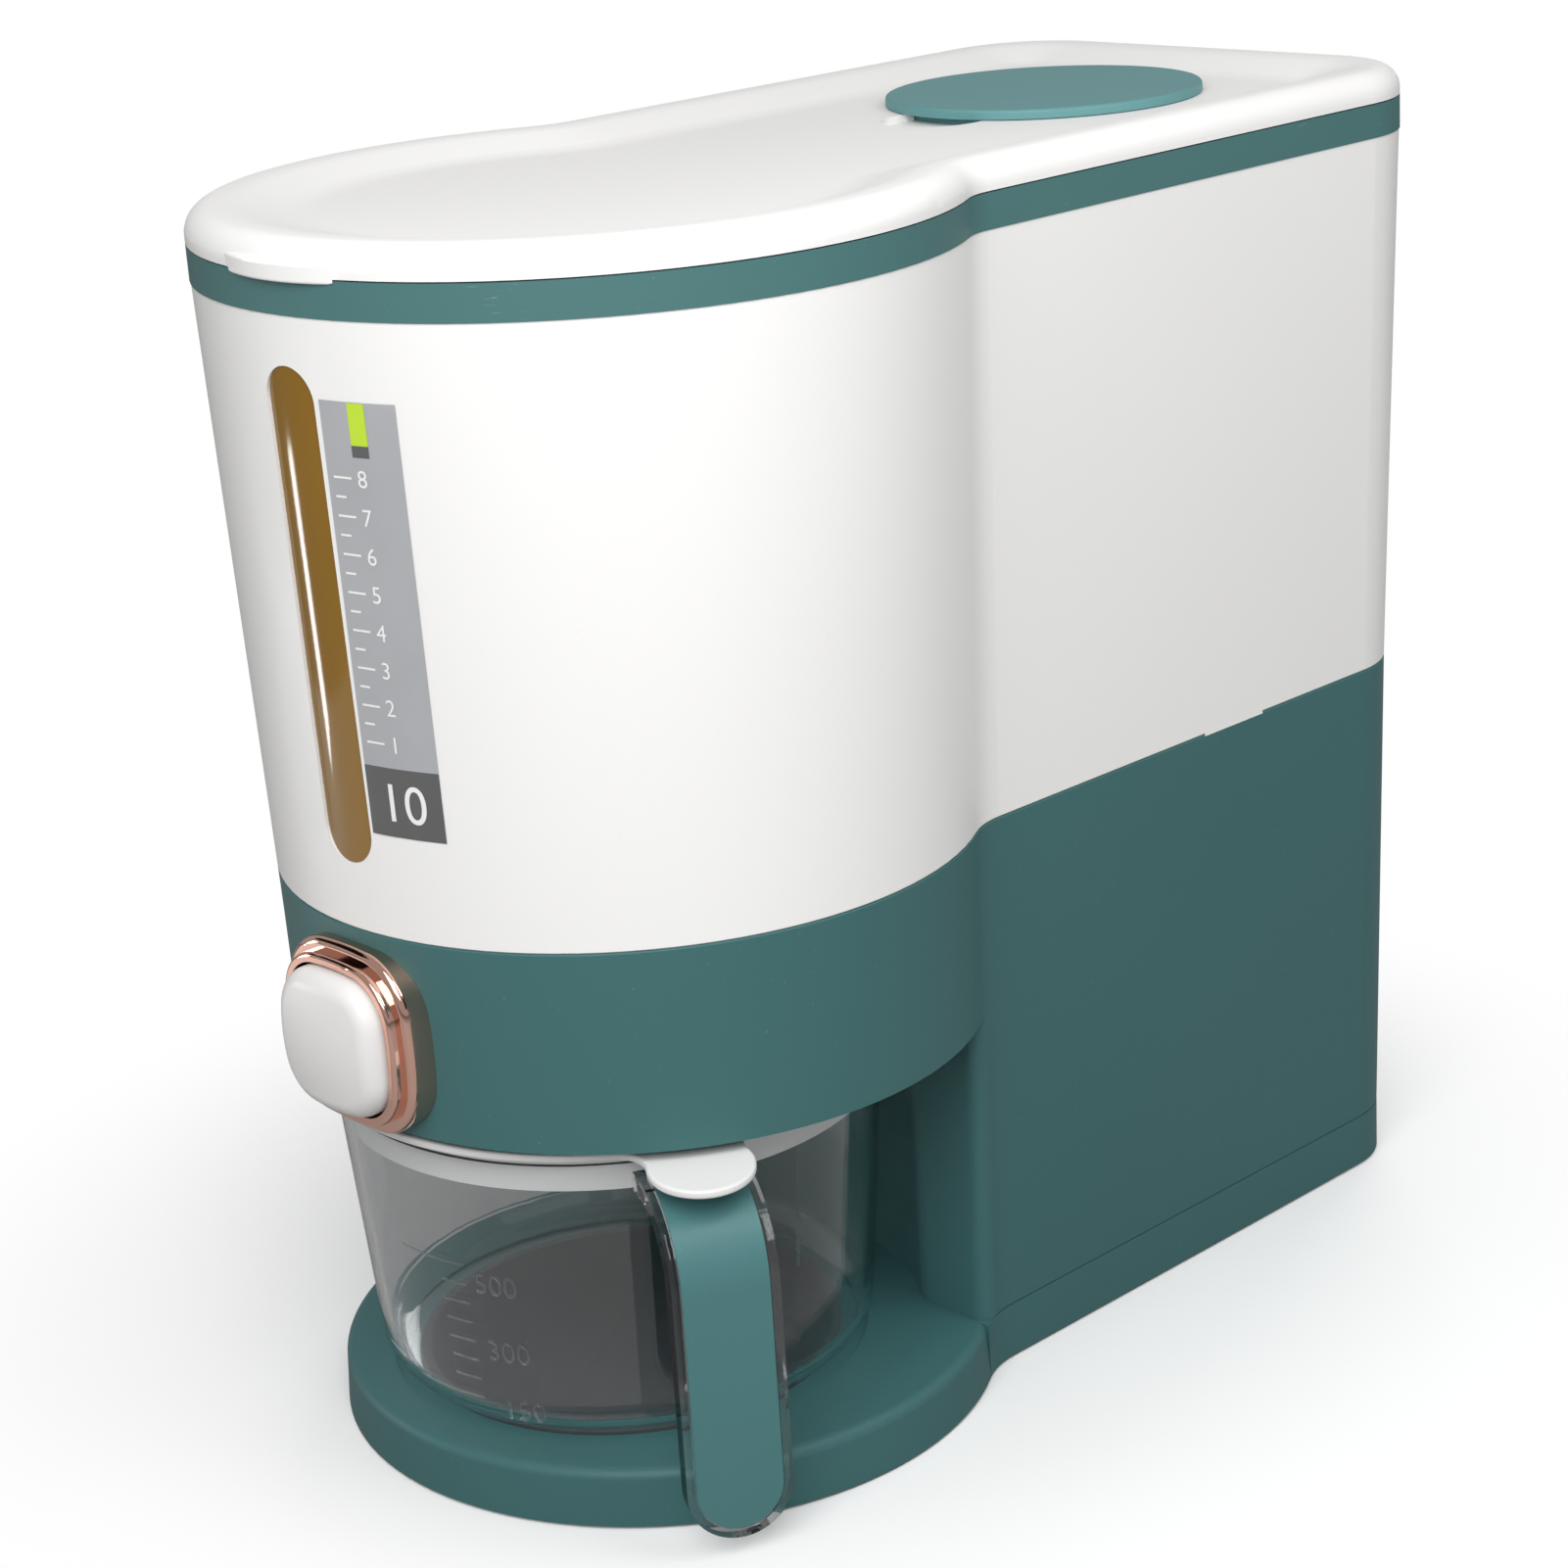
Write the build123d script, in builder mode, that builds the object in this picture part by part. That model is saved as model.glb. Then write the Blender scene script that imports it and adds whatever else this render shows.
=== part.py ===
from build123d import *
import os
from math import atan, cos, degrees, hypot, pi, radians, sin, sqrt, tan

# Rice dispenser: hopper with a hinged lid on a collar and column, a push button gate, a measuring cup.
# Millimetres, +Z up, front towards -Y, origin on the table below the middle of the footprint.

# Plan outline at the rim: a round front joined to a narrower rear box
rim_radius = 105.0
rim_half_width = 86.5
rim_reach = 268.0
rim_corner_radius = 35.0
waist_radius = 20.0
front_y = -80.15

# Heights, stacked from the table up
foot_lift = 0.5
base_height = 17.0
bay_height = 95.7
collar_height = 57.0
hopper_height = 174.3
band_height = 9.7
lid_height = 9.0

# Draft of the walls: how far the outline draws in from the rim
seam_inset = 5.4
base_inset = 8.4

# Walls
hopper_wall = 3.2
lower_wall = 3.0
base_wall = 3.0
pad_thickness = 4.0
panel_thickness = 3.0

# Fits shared by all pieces
fit_gap = 0.1
slide_gap = 0.3
overrun = 1.0

# Base, mat and feet
pad_edge_radius = 3.0
pad_draft = 1.0
recess_margin = 1.7
recess_depth = 1.2
mat_margin = 7.0
mat_thickness = 1.5
foot_radius = 9.0
foot_seat_depth = 1.0
foot_rim = 2.0
foot_edge = 0.4
foot_side_margin = 28.5
foot_front_margin = 53.0
foot_middle_margin = 24.0
foot_rear_margin = 36.0

# Bay for the cup and the column behind it
column_setback = 51.0
bay_gap = 4.5
bay_blend_radius = 10.0
column_edge_radius = 4.0
post_radius = 5.0
post_merge = 1.5
post_height = 40.0
post_rear_margin = 45.0

# Seam between the hopper and the lower body
spigot_depth = 6.0
spigot_wall = 2.0
spigot_web = 3.0
seam_chamfer = 0.6
hopper_chamfer = 0.3
base_seam_chamfer = 0.4
clip_length = 27.0
clip_drop = 0.7
clip_reach = 169.0

# Outlet and sloped floor of the hopper
outlet_width = 52.0
outlet_length = 8.5
outlet_ahead = 13.0
neck_height = 8.0
floor_thickness = 2.5
front_slope = 35.0
rear_slope = 22.0
side_slope = 45.0

# Sight window
window_azimuth = 2.6
window_sill = 19.0
window_head = 12.9
window_width = 18.5
pane_recess = 0.2
pane_crown = 1.2

# Rim band, lid and seal
band_thickness = 1.6
band_web = 1.9
lid_gap = 0.4
lid_wall = 2.4
lid_roof = 2.2
lid_shoulder = 7.0
lid_hollow_round = 5.0
dish_depth = 4.8
dish_rim_inset = 12.0
dish_floor_inset = 30.0
dish_rim_round = 20.0
dish_floor_round = 30.0
plug_depth = 7.5
plug_wall = 2.0
plug_lip = 1.4
plug_lip_gap = 0.9
seal_depth = 2.4
seal_height = 4.3
tab_azimuth = 3.0
tab_half_angle = 12.0
tab_reach = 2.0
tab_height = 3.6
tab_drop = 1.4
tab_edge = 0.8

# Lid hinge at the rear
hinge_radius = 3.4
hinge_pin_radius = 1.5
hinge_pin_clearance = 0.05
hinge_stand = 0.2
hinge_rise = 1.1
barrel_length = 60.0
ear_width = 8.0
ear_gap = 0.4
ear_drop = 7.0

# Moisture cap and basket in the lid
cap_rear_margin = 84.0
cap_radius = 47.5
cap_thickness = 2.8
cap_edge_radius = 1.0
cap_skirt_depth = 4.0
cap_skirt_wall = 2.0
basket_radius = 45.0
basket_flange_radius = 47.0
basket_flange = 0.9
basket_wall = 1.6
basket_depth = 18.0
basket_slot_width = 4.0
basket_slot_pitch = 9.0
basket_slot_margin = 6.0
scoop_radius = 16.0
scoop_depth = 2.0
scoop_pad = 1.4

# Push button and its bezel
button_drop = 1.8
cap_width = 40.5
cap_height = 39.5
cap_proud = 7.5
cap_crown_radius = 90.0
cap_edge_round = 5.5
cap_wall = 2.2
cap_tail = 9.5
bezel_width = 52.0
bezel_height = 52.5
bezel_proud = 8.2
bezel_step = 3.3
bezel_step_width = 46.5
bezel_step_height = 46.0
bezel_sleeve = 1.4
bezel_tail = 4.0
bezel_edge = 2.0
bezel_lip_edge = 1.2
button_gap = 0.8
button_travel = 9.0
squircle_bulge_share = 0.045
squircle_corner_share = 0.33

# Gate, housing and return spring
gate_half_width = 36.0
gate_thickness = 3.0
gate_gap = 0.2
gate_lap = 12.0
gate_front_reach = 62.0
tongue_half_width = 14.0
bracket_thickness = 4.0
bracket_half_width = 12.0
bracket_rise = 8.0
bracket_clear = 8.0
stem_radius = 6.0
socket_wall = 2.6
housing_floor = 2.5
rail_width = 4.0
rail_lip = 3.0
rail_height = 2.7
housing_margin = 4.0
chute_margin = 3.0
bridge_reach = 52.0
bridge_thickness = 4.0
bridge_half_width = 8.0
spring_wire = 1.2
spring_radius = 6.0
spring_turns = 7
spring_drop = 4.2
spring_pin_radius = 4.2
bracket_pin = 12.0
bridge_pin = 6.0
ear_reach = 9.0
ear_thickness = 2.5
ear_half_length = 6.0
ear_front_reach = 45.0
ear_rear_reach = 2.0
boss_height = 4.0
boss_radius = 3.6
screw_radius = 1.4
screw_clearance = 0.2
screw_head_radius = 3.0
screw_head_height = 2.0
screw_length = 8.0
screw_slot_width = 0.9
screw_slot_depth = 0.9
base_screw_radius = 1.8
base_screw_head_radius = 3.4
base_screw_head_height = 2.4
base_screw_length = 24.0
base_boss_radius = 6.0
base_boss_height = 6.0

# Measuring cup
cup_ahead = 15.0
cup_margin = 26.8
cup_draft = 7.0
cup_height = 88.0
cup_wall = 2.5
cup_corner_radius = 13.0
handle_azimuth = 64.0
strap_width = 29.5
strap_pad_gap = 14.3
strap_thickness = 5.5
strap_bend_share = 0.78
strap_top_drop = 2.5
strap_tip_lift = 6.5
pocket_depth = 2.4
pocket_rim = 2.55
pocket_start = 4.0
insert_recess = 0.2
insert_inset = 0.2
cup_lid_gap = 0.2
cup_lid_lap = 3.3
cup_lid_seat = 2.3
cup_lid_seat_inset = 1.0
cup_lid_flange = 2.4
cup_lid_edge = 0.8
cup_lid_ledge = 28.2
cup_lid_skirt_depth = 8.5
cup_lid_skirt_wall = 1.8
thumb_overhang = 25.7
thumb_radius = 14.5
thumb_root_radius = 9.0
thumb_drop = 2.6
thumb_bend = 40.0

# Levels and places that follow from the sizes above
collar_z = base_height + bay_height
panel_z = collar_z + panel_thickness
seam_z = collar_z + collar_height
rim_z = seam_z + hopper_height
band_z = rim_z - band_height
hopper_rim_z = rim_z - band_web - fit_gap
lid_z = rim_z + lid_gap
lid_top_z = rim_z + lid_height
dish_z = lid_top_z - dish_depth
rear_y = front_y + rim_reach
column_y = front_y + column_setback
cup_y = front_y - cup_ahead
cup_rim_radius = rim_radius - cup_margin
cup_foot_radius = cup_rim_radius - cup_draft
cup_lid_radius = cup_rim_radius + cup_lid_lap
cup_lid_opening = cup_rim_radius - cup_lid_ledge
bay_radius = cup_lid_radius + bay_gap
recess_radius = cup_foot_radius - recess_margin
mat_radius = recess_radius - mat_margin
cup_z = base_height - recess_depth + mat_thickness
cup_rim_z = cup_z + cup_height
outlet_y = front_y - outlet_ahead
gate_z = panel_z + housing_floor + gate_gap
gate_top_z = gate_z + gate_thickness
neck_z = gate_top_z + slide_gap
throat_z = neck_z + neck_height
button_z = (collar_z + seam_z) / 2 - button_drop
hinge_y = rear_y + hinge_radius + hinge_stand
hinge_z = lid_z + hinge_rise
cap_y = rear_y - cap_rear_margin
window_length = hopper_height - band_height - window_sill - window_head
foot_x = rim_half_width - foot_side_margin
foot_front_reach = rim_radius - foot_front_margin
foot_middle_reach = column_setback + foot_middle_margin

# Handle: the strap hangs clear of the base's edge
handle_turn = radians(handle_azimuth)
strap_clear = rim_radius - base_inset + strap_pad_gap
strap_inner = sqrt(strap_clear ** 2 - (cup_ahead * sin(handle_turn)) ** 2) - cup_ahead * cos(handle_turn)
strap_outer = strap_inner + strap_thickness
strap_bend = strap_bend_share * (strap_outer - cup_rim_radius)
thumb_reach = cup_lid_radius + thumb_overhang


def hopper_inset(z):
    return seam_inset * (rim_z - z) / hopper_height


def lower_inset(z):
    return base_inset + (seam_inset - base_inset) * (z - base_height) / (seam_z - base_height)


lip_z = seam_z + hopper_chamfer
collar_lip_z = seam_z - seam_chamfer
groove_z = base_height + base_seam_chamfer
mouth_inset = hopper_inset(band_z) + hopper_wall
collar_front_y = front_y - rim_radius + lower_inset(button_z)


# Plan of the body at a level, drawn in by an inset
def plan_outline(inset, z):
    with BuildSketch(Plane.XY.offset(z)) as outline:
        with Locations((0, front_y)):
            Circle(rim_radius - inset)
            Rectangle(2 * (rim_half_width - inset), rim_reach - inset,
                      align=(Align.CENTER, Align.MIN))
        fillet(outline.vertices().sort_by(Axis.Y)[-4:-2], waist_radius + inset)
        fillet(outline.vertices().sort_by(Axis.Y)[-2:], rim_corner_radius - inset)
    return outline.sketch


# Body whose outline grows evenly from a lower level to a higher one
def drafted(low_inset, low_z, high_inset, high_z):
    spread = atan((low_inset - high_inset) / (high_z - low_z))
    with BuildPart() as body:
        extrude(plan_outline(low_inset, low_z), amount=high_z - low_z, taper=-degrees(spread))
    return body.part


# Room in front of the column, with a hollow that follows the cup
def bay_outline(grow, z):
    width = 2 * (rim_radius + overrun)
    depth = rim_radius + overrun + column_setback + grow
    with BuildSketch(Plane.XY.offset(z)) as outline:
        with Locations((0, column_y + grow)):
            Rectangle(width, depth, align=(Align.CENTER, Align.MAX))
        with Locations((0, cup_y)):
            Circle(bay_radius + grow)
        blends = outline.vertices().filter_by(lambda v: abs(v.X) < bay_radius)
        fillet(blends, bay_blend_radius - grow)
    return outline.sketch


# Upright plane across the body at a depth, seen from the front
def front_plane(y, z):
    return Plane(origin=(0, y, z), x_dir=(1, 0, 0), z_dir=(0, -1, 0))


# Square with bulging sides and round corners, the shape of the button
def squircle(plane, width, height):
    half_width = width / 2
    half_height = height / 2
    side_x = half_width * (1 - 2 * squircle_bulge_share)
    side_y = half_height * (1 - 2 * squircle_bulge_share)
    with BuildSketch(plane) as shape:
        with BuildLine():
            ThreePointArc((-side_x, -side_y), (0, -half_height), (side_x, -side_y))
            ThreePointArc((side_x, -side_y), (half_width, 0), (side_x, side_y))
            ThreePointArc((side_x, side_y), (0, half_height), (-side_x, side_y))
            ThreePointArc((-side_x, side_y), (-half_width, 0), (-side_x, -side_y))
        make_face()
        fillet(shape.vertices(), squircle_corner_share * height)
    return shape.sketch


# Places of the feet and of the base screws
foot_rows = [front_y - foot_front_reach, front_y + foot_middle_reach, rear_y - foot_rear_margin]
foot_places = [(x, y) for y in foot_rows for x in (-foot_x, foot_x)]
post_x = rim_half_width - base_inset - lower_wall - post_radius + post_merge
post_front_y = column_y + lower_wall + post_radius - post_merge
post_rows = [post_front_y, rear_y - post_rear_margin]
post_places = [(x, y) for y in post_rows for x in (-post_x, post_x)]

# Base: round pad in front, square-edged foot under the column, hollow below
pad_under_z = base_height - pad_thickness
base_boss_z = pad_under_z - base_boss_height
with BuildPart() as base:
    add(drafted(base_inset, foot_lift, base_inset + pad_draft, base_height))
    fillet(base.edges().group_by(Axis.Z)[-1], pad_edge_radius)
    with BuildPart(mode=Mode.ADD):
        extrude(plan_outline(base_inset, foot_lift), amount=base_height - foot_lift)
        with Locations((0, column_y, 0)):
            Box(2 * rim_radius, rim_reach - column_setback, base_height,
                align=(Align.CENTER, Align.MIN, Align.MIN), mode=Mode.INTERSECT)
    extrude(plan_outline(base_inset + base_wall, foot_lift), amount=pad_under_z - foot_lift,
            mode=Mode.SUBTRACT)
    with Locations((0, cup_y, base_height)):
        Cylinder(recess_radius, recess_depth, align=(Align.CENTER, Align.CENTER, Align.MAX),
                 mode=Mode.SUBTRACT)
    with Locations([(x, y, foot_lift) for x, y in foot_places]):
        Cylinder(foot_radius + foot_rim, pad_under_z - foot_lift,
                 align=(Align.CENTER, Align.CENTER, Align.MIN))
    with Locations([(x, y, foot_lift) for x, y in foot_places]):
        Cylinder(foot_radius + fit_gap, foot_seat_depth,
                 align=(Align.CENTER, Align.CENTER, Align.MIN), mode=Mode.SUBTRACT)
    with Locations([(x, y, base_boss_z) for x, y in post_places]):
        Cylinder(base_boss_radius, base_boss_height, align=(Align.CENTER, Align.CENTER, Align.MIN))
    with Locations([(x, y, base_boss_z) for x, y in post_places]):
        Cylinder(base_screw_radius + screw_clearance, base_boss_height + pad_thickness,
                 align=(Align.CENTER, Align.CENTER, Align.MIN), mode=Mode.SUBTRACT)

# Anti-slip mat under the cup
with BuildPart() as cup_mat:
    with Locations((0, cup_y, base_height - recess_depth)):
        Cylinder(mat_radius, mat_thickness, align=(Align.CENTER, Align.CENTER, Align.MIN))
    fillet(cup_mat.edges().group_by(Axis.Z)[-1], mat_thickness / 4)

# Rubber feet
feet = []
for foot_place in foot_places:
    with BuildPart() as foot:
        with Locations((*foot_place, 0)):
            Cylinder(foot_radius, foot_lift + foot_seat_depth,
                     align=(Align.CENTER, Align.CENTER, Align.MIN))
        chamfer(foot.edges().group_by(Axis.Z)[0], foot_edge)
    feet.append(foot)

# Lower body: collar round the outlet and hollow column behind the bay
outlet_hole_width = outlet_width + 2 * chute_margin
outlet_hole_length = outlet_length + 2 * chute_margin
ear_x = gate_half_width + slide_gap + rail_width + ear_reach / 2
ear_rows = [front_y - ear_front_reach, front_y - ear_rear_reach]
ear_places = [(x, y) for y in ear_rows for x in (-ear_x, ear_x)]
sleeve_width = cap_width + 2 * (button_gap + bezel_sleeve)
sleeve_height = cap_height + 2 * (button_gap + bezel_sleeve)
clip_x = rim_half_width - seam_inset
with BuildPart() as column_room:
    room_height = panel_z - base_height + 2 * overrun
    extrude(plan_outline(base_inset + lower_wall, base_height - overrun), amount=room_height)
    extrude(bay_outline(lower_wall, base_height - overrun), amount=room_height, mode=Mode.SUBTRACT)
with BuildPart() as column:
    add(drafted(base_inset, base_height, lower_inset(collar_z), collar_z))
    extrude(bay_outline(0, base_height), amount=bay_height, mode=Mode.SUBTRACT)
    corners = column.edges().filter_by(
        lambda e: abs(e.center().Y - column_y) < fit_gap and e.bounding_box().size.Z > bay_height / 2)
    fillet([corners.sort_by(Axis.X)[0], corners.sort_by(Axis.X)[-1]], column_edge_radius)
    with BuildPart(mode=Mode.SUBTRACT):
        extrude(plan_outline(0, base_height), amount=base_seam_chamfer)
        add(drafted(base_inset + base_seam_chamfer, base_height, lower_inset(groove_z), groove_z),
            mode=Mode.SUBTRACT)
with BuildPart() as lower_body:
    add(drafted(lower_inset(collar_z), collar_z, lower_inset(collar_lip_z), collar_lip_z))
    add(drafted(lower_inset(collar_lip_z), collar_lip_z, seam_inset + seam_chamfer, seam_z))
    add(column.part)
    add(drafted(lower_inset(panel_z) + lower_wall, panel_z, seam_inset + lower_wall, seam_z),
        mode=Mode.SUBTRACT)
    add(column_room.part, mode=Mode.SUBTRACT)
    with Locations([(x, y, base_height) for x, y in post_places]):
        Cylinder(post_radius, post_height, align=(Align.CENTER, Align.CENTER, Align.MIN))
    with Locations([(x, y, base_height) for x, y in post_places]):
        Cylinder(base_screw_radius, base_screw_length, align=(Align.CENTER, Align.CENTER, Align.MIN),
                 mode=Mode.SUBTRACT)
    with Locations([(x, y, panel_z) for x, y in ear_places]):
        Cylinder(boss_radius, boss_height, align=(Align.CENTER, Align.CENTER, Align.MIN))
    with Locations([(x, y, panel_z + boss_height) for x, y in ear_places]):
        Cylinder(screw_radius, screw_length - ear_thickness, align=(Align.CENTER, Align.CENTER, Align.MAX),
                 mode=Mode.SUBTRACT)
    with Locations((0, outlet_y, collar_z)):
        Box(outlet_hole_width, outlet_hole_length, 2 * panel_thickness + overrun, mode=Mode.SUBTRACT)
    extrude(squircle(front_plane(collar_front_y + 2 * lower_wall, button_z), sleeve_width + 2 * fit_gap,
                     sleeve_height + 2 * fit_gap), amount=bezel_proud + 2 * lower_wall, mode=Mode.SUBTRACT)
    with Locations([(x, front_y + clip_reach, seam_z) for x in (-clip_x, clip_x)]):
        Box(lower_wall, clip_length, 2 * clip_drop, mode=Mode.SUBTRACT)


# Level section of the hopper's funnel; thickness moves its four slopes outwards
def funnel_section(z, thickness):
    rise = z - throat_z
    half = outlet_width / 2 + thickness / sin(radians(side_slope)) + rise / tan(radians(side_slope))
    ahead = outlet_length / 2 + thickness / sin(radians(front_slope)) + rise / tan(radians(front_slope))
    behind = outlet_length / 2 + thickness / sin(radians(rear_slope)) + rise / tan(radians(rear_slope))
    with BuildSketch(Plane.XY.offset(z)) as section:
        with Locations((0, outlet_y + (behind - ahead) / 2)):
            Rectangle(2 * half, ahead + behind)
    return section.sketch


spigot_outer = seam_inset + lower_wall + slide_gap
spigot_inner = spigot_outer + spigot_wall
funnel_top_z = throat_z + (rear_y - outlet_y) * tan(radians(rear_slope))
with BuildPart() as hopper_floor:
    loft([funnel_section(throat_z, floor_thickness), funnel_section(funnel_top_z, floor_thickness)],
         ruled=True)
    loft([funnel_section(throat_z, 0), funnel_section(funnel_top_z, 0)], ruled=True, mode=Mode.SUBTRACT)
    with BuildPart(mode=Mode.INTERSECT):
        extrude(plan_outline(spigot_outer + spigot_wall / 2, throat_z), amount=seam_z - throat_z)
        add(drafted(seam_inset + hopper_wall / 2, seam_z, hopper_inset(band_z) + hopper_wall / 2, band_z))
    with Locations((0, outlet_y, neck_z)):
        Box(outlet_width + 2 * floor_thickness, outlet_length + 2 * floor_thickness, neck_height,
            align=(Align.CENTER, Align.CENTER, Align.MIN))
        Box(outlet_width, outlet_length, neck_height,
            align=(Align.CENTER, Align.CENTER, Align.MIN), mode=Mode.SUBTRACT)

# Plane on the hopper's front wall at the middle of the sight window
draft = atan(seam_inset / hopper_height)
window_z = seam_z + window_sill + window_length / 2
window_radius = rim_radius - hopper_inset(window_z)
window_turn = radians(window_azimuth)
window_plane = Plane(
    origin=(window_radius * sin(window_turn), front_y - window_radius * cos(window_turn), window_z),
    x_dir=(cos(window_turn), sin(window_turn), 0),
    z_dir=(sin(window_turn) * cos(draft), -cos(window_turn) * cos(draft), -sin(draft)))

# Hopper: drafted wall, rim for the band, spigot into the lower body, sloped floor and outlet neck
with BuildPart() as hopper:
    add(drafted(hopper_inset(lip_z), lip_z, hopper_inset(band_z), band_z))
    add(drafted(seam_inset + hopper_chamfer, seam_z, hopper_inset(lip_z), lip_z))
    extrude(plan_outline(band_thickness + fit_gap, band_z), amount=hopper_rim_z - band_z)
    add(drafted(seam_inset + hopper_wall, seam_z, mouth_inset, band_z), mode=Mode.SUBTRACT)
    extrude(plan_outline(mouth_inset, band_z), amount=hopper_rim_z - band_z, mode=Mode.SUBTRACT)
    with BuildPart(mode=Mode.PRIVATE) as spigot:
        extrude(plan_outline(seam_inset + hopper_wall / 2, seam_z), amount=spigot_web)
        extrude(plan_outline(spigot_outer, seam_z - spigot_depth), amount=spigot_depth)
        extrude(plan_outline(spigot_inner, seam_z - spigot_depth), amount=spigot_depth + spigot_web,
                mode=Mode.SUBTRACT)
    add(spigot.part)
    add(hopper_floor.part)
    with BuildSketch(window_plane):
        SlotOverall(window_length, window_width, rotation=90)
    extrude(amount=2 * hopper_wall, both=True, mode=Mode.SUBTRACT)
    clip_width = lower_wall / 2 - fit_gap
    clip_rows = (clip_width / 2 - clip_x, clip_x - clip_width / 2)
    with Locations([(x, front_y + clip_reach, seam_z) for x in clip_rows]):
        Box(clip_width, clip_length - 2 * fit_gap, 2 * clip_drop)

# Sight window: crowned pane in the slot
pane_half = window_width / 2 - fit_gap
pane_section = Plane(origin=window_plane.origin, x_dir=window_plane.x_dir, z_dir=-window_plane.y_dir)
with BuildPart() as sight_window:
    with BuildSketch(window_plane):
        SlotOverall(window_length - 2 * fit_gap, window_width - 2 * fit_gap, rotation=90)
    extrude(amount=2 * hopper_wall, both=True)
    with BuildSketch(pane_section):
        with BuildLine():
            pane_edge = -pane_recess - pane_crown
            ThreePointArc((-pane_half, pane_edge), (0, -pane_recess), (pane_half, pane_edge))
            Polyline((pane_half, pane_edge), (pane_half, -hopper_wall), (-pane_half, -hopper_wall),
                     (-pane_half, pane_edge))
        make_face()
    extrude(amount=window_length, both=True, mode=Mode.INTERSECT)

# Rim band: green ring over the hopper's edge, with the two hinge ears
ear_center_x = barrel_length / 2 + ear_gap + ear_width / 2
with BuildPart() as rim_band:
    extrude(plan_outline(0, band_z), amount=band_height)
    extrude(plan_outline(band_thickness, band_z), amount=band_height - band_web, mode=Mode.SUBTRACT)
    extrude(plan_outline(mouth_inset, band_z), amount=band_height, mode=Mode.SUBTRACT)
    for ear_center in (-ear_center_x, ear_center_x):
        with BuildSketch(Plane.YZ.offset(ear_center)):
            with Locations((hinge_y, hinge_z)):
                Circle(hinge_radius)
            with BuildLine():
                ear_root_y = rear_y - band_thickness / 2
                Polyline((ear_root_y, rim_z), (ear_root_y, rim_z - ear_drop),
                         (hinge_y + hinge_radius, hinge_z), (hinge_y, rim_z), close=True)
            make_face()
        extrude(amount=ear_width / 2, both=True)
    with Locations(Location((0, hinge_y, hinge_z), (0, 90, 0))):
        Cylinder(hinge_pin_radius, barrel_length + 2 * ear_width + 2 * ear_gap + overrun, mode=Mode.SUBTRACT)

# Hinge pin, held in the ears and turning in the lid's barrel
with BuildPart() as hinge_pin:
    with Locations(Location((0, hinge_y, hinge_z), (0, 90, 0))):
        Cylinder(hinge_pin_radius, barrel_length + 2 * ear_width + 2 * ear_gap)

# Lid: rounded shoulder, dished top, plug with lips for the seal, barrel and lift tab
plug_inset = mouth_inset + slide_gap + seal_depth + fit_gap
lip_inset = mouth_inset + plug_lip_gap
plug_z = rim_z - plug_depth
plug_top_z = lid_top_z - lid_roof / 2
seal_z = plug_z + plug_lip + fit_gap
upper_lip_z = seal_z + seal_height + fit_gap
basket_flange_z = dish_z - basket_flange
scoop_y = cap_y - basket_flange_radius
tab_turn = radians(tab_azimuth)
tab_tip = rim_radius + tab_reach
tab_center = (tab_tip ** 2 - rim_radius ** 2) / (2 * (tab_tip - rim_radius * cos(radians(tab_half_angle))))
with BuildPart() as lift_tab:
    with Locations((tab_center * sin(tab_turn), front_y - tab_center * cos(tab_turn), lid_z - tab_drop)):
        Cylinder(tab_tip - tab_center, tab_drop + tab_height, align=(Align.CENTER, Align.CENTER, Align.MIN))
    fillet(lift_tab.edges(), tab_edge)
    with Locations((0, front_y, lid_z)):
        Cylinder(rim_radius + slide_gap, tab_drop, align=(Align.CENTER, Align.CENTER, Align.MAX),
                 mode=Mode.SUBTRACT)
        Cylinder(rim_radius - lid_wall / 2, tab_height, align=(Align.CENTER, Align.CENTER, Align.MIN),
                 mode=Mode.SUBTRACT)
with BuildPart() as lid_hollow:
    extrude(plan_outline(lid_wall, lid_z), amount=lid_top_z - lid_roof - lid_z)
    fillet(lid_hollow.edges().group_by(Axis.Z)[-1], lid_hollow_round)
    add(drafted(dish_floor_inset - lid_wall, dish_z - lid_roof, dish_rim_inset - lid_wall,
                lid_top_z - lid_roof), mode=Mode.SUBTRACT)
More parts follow.
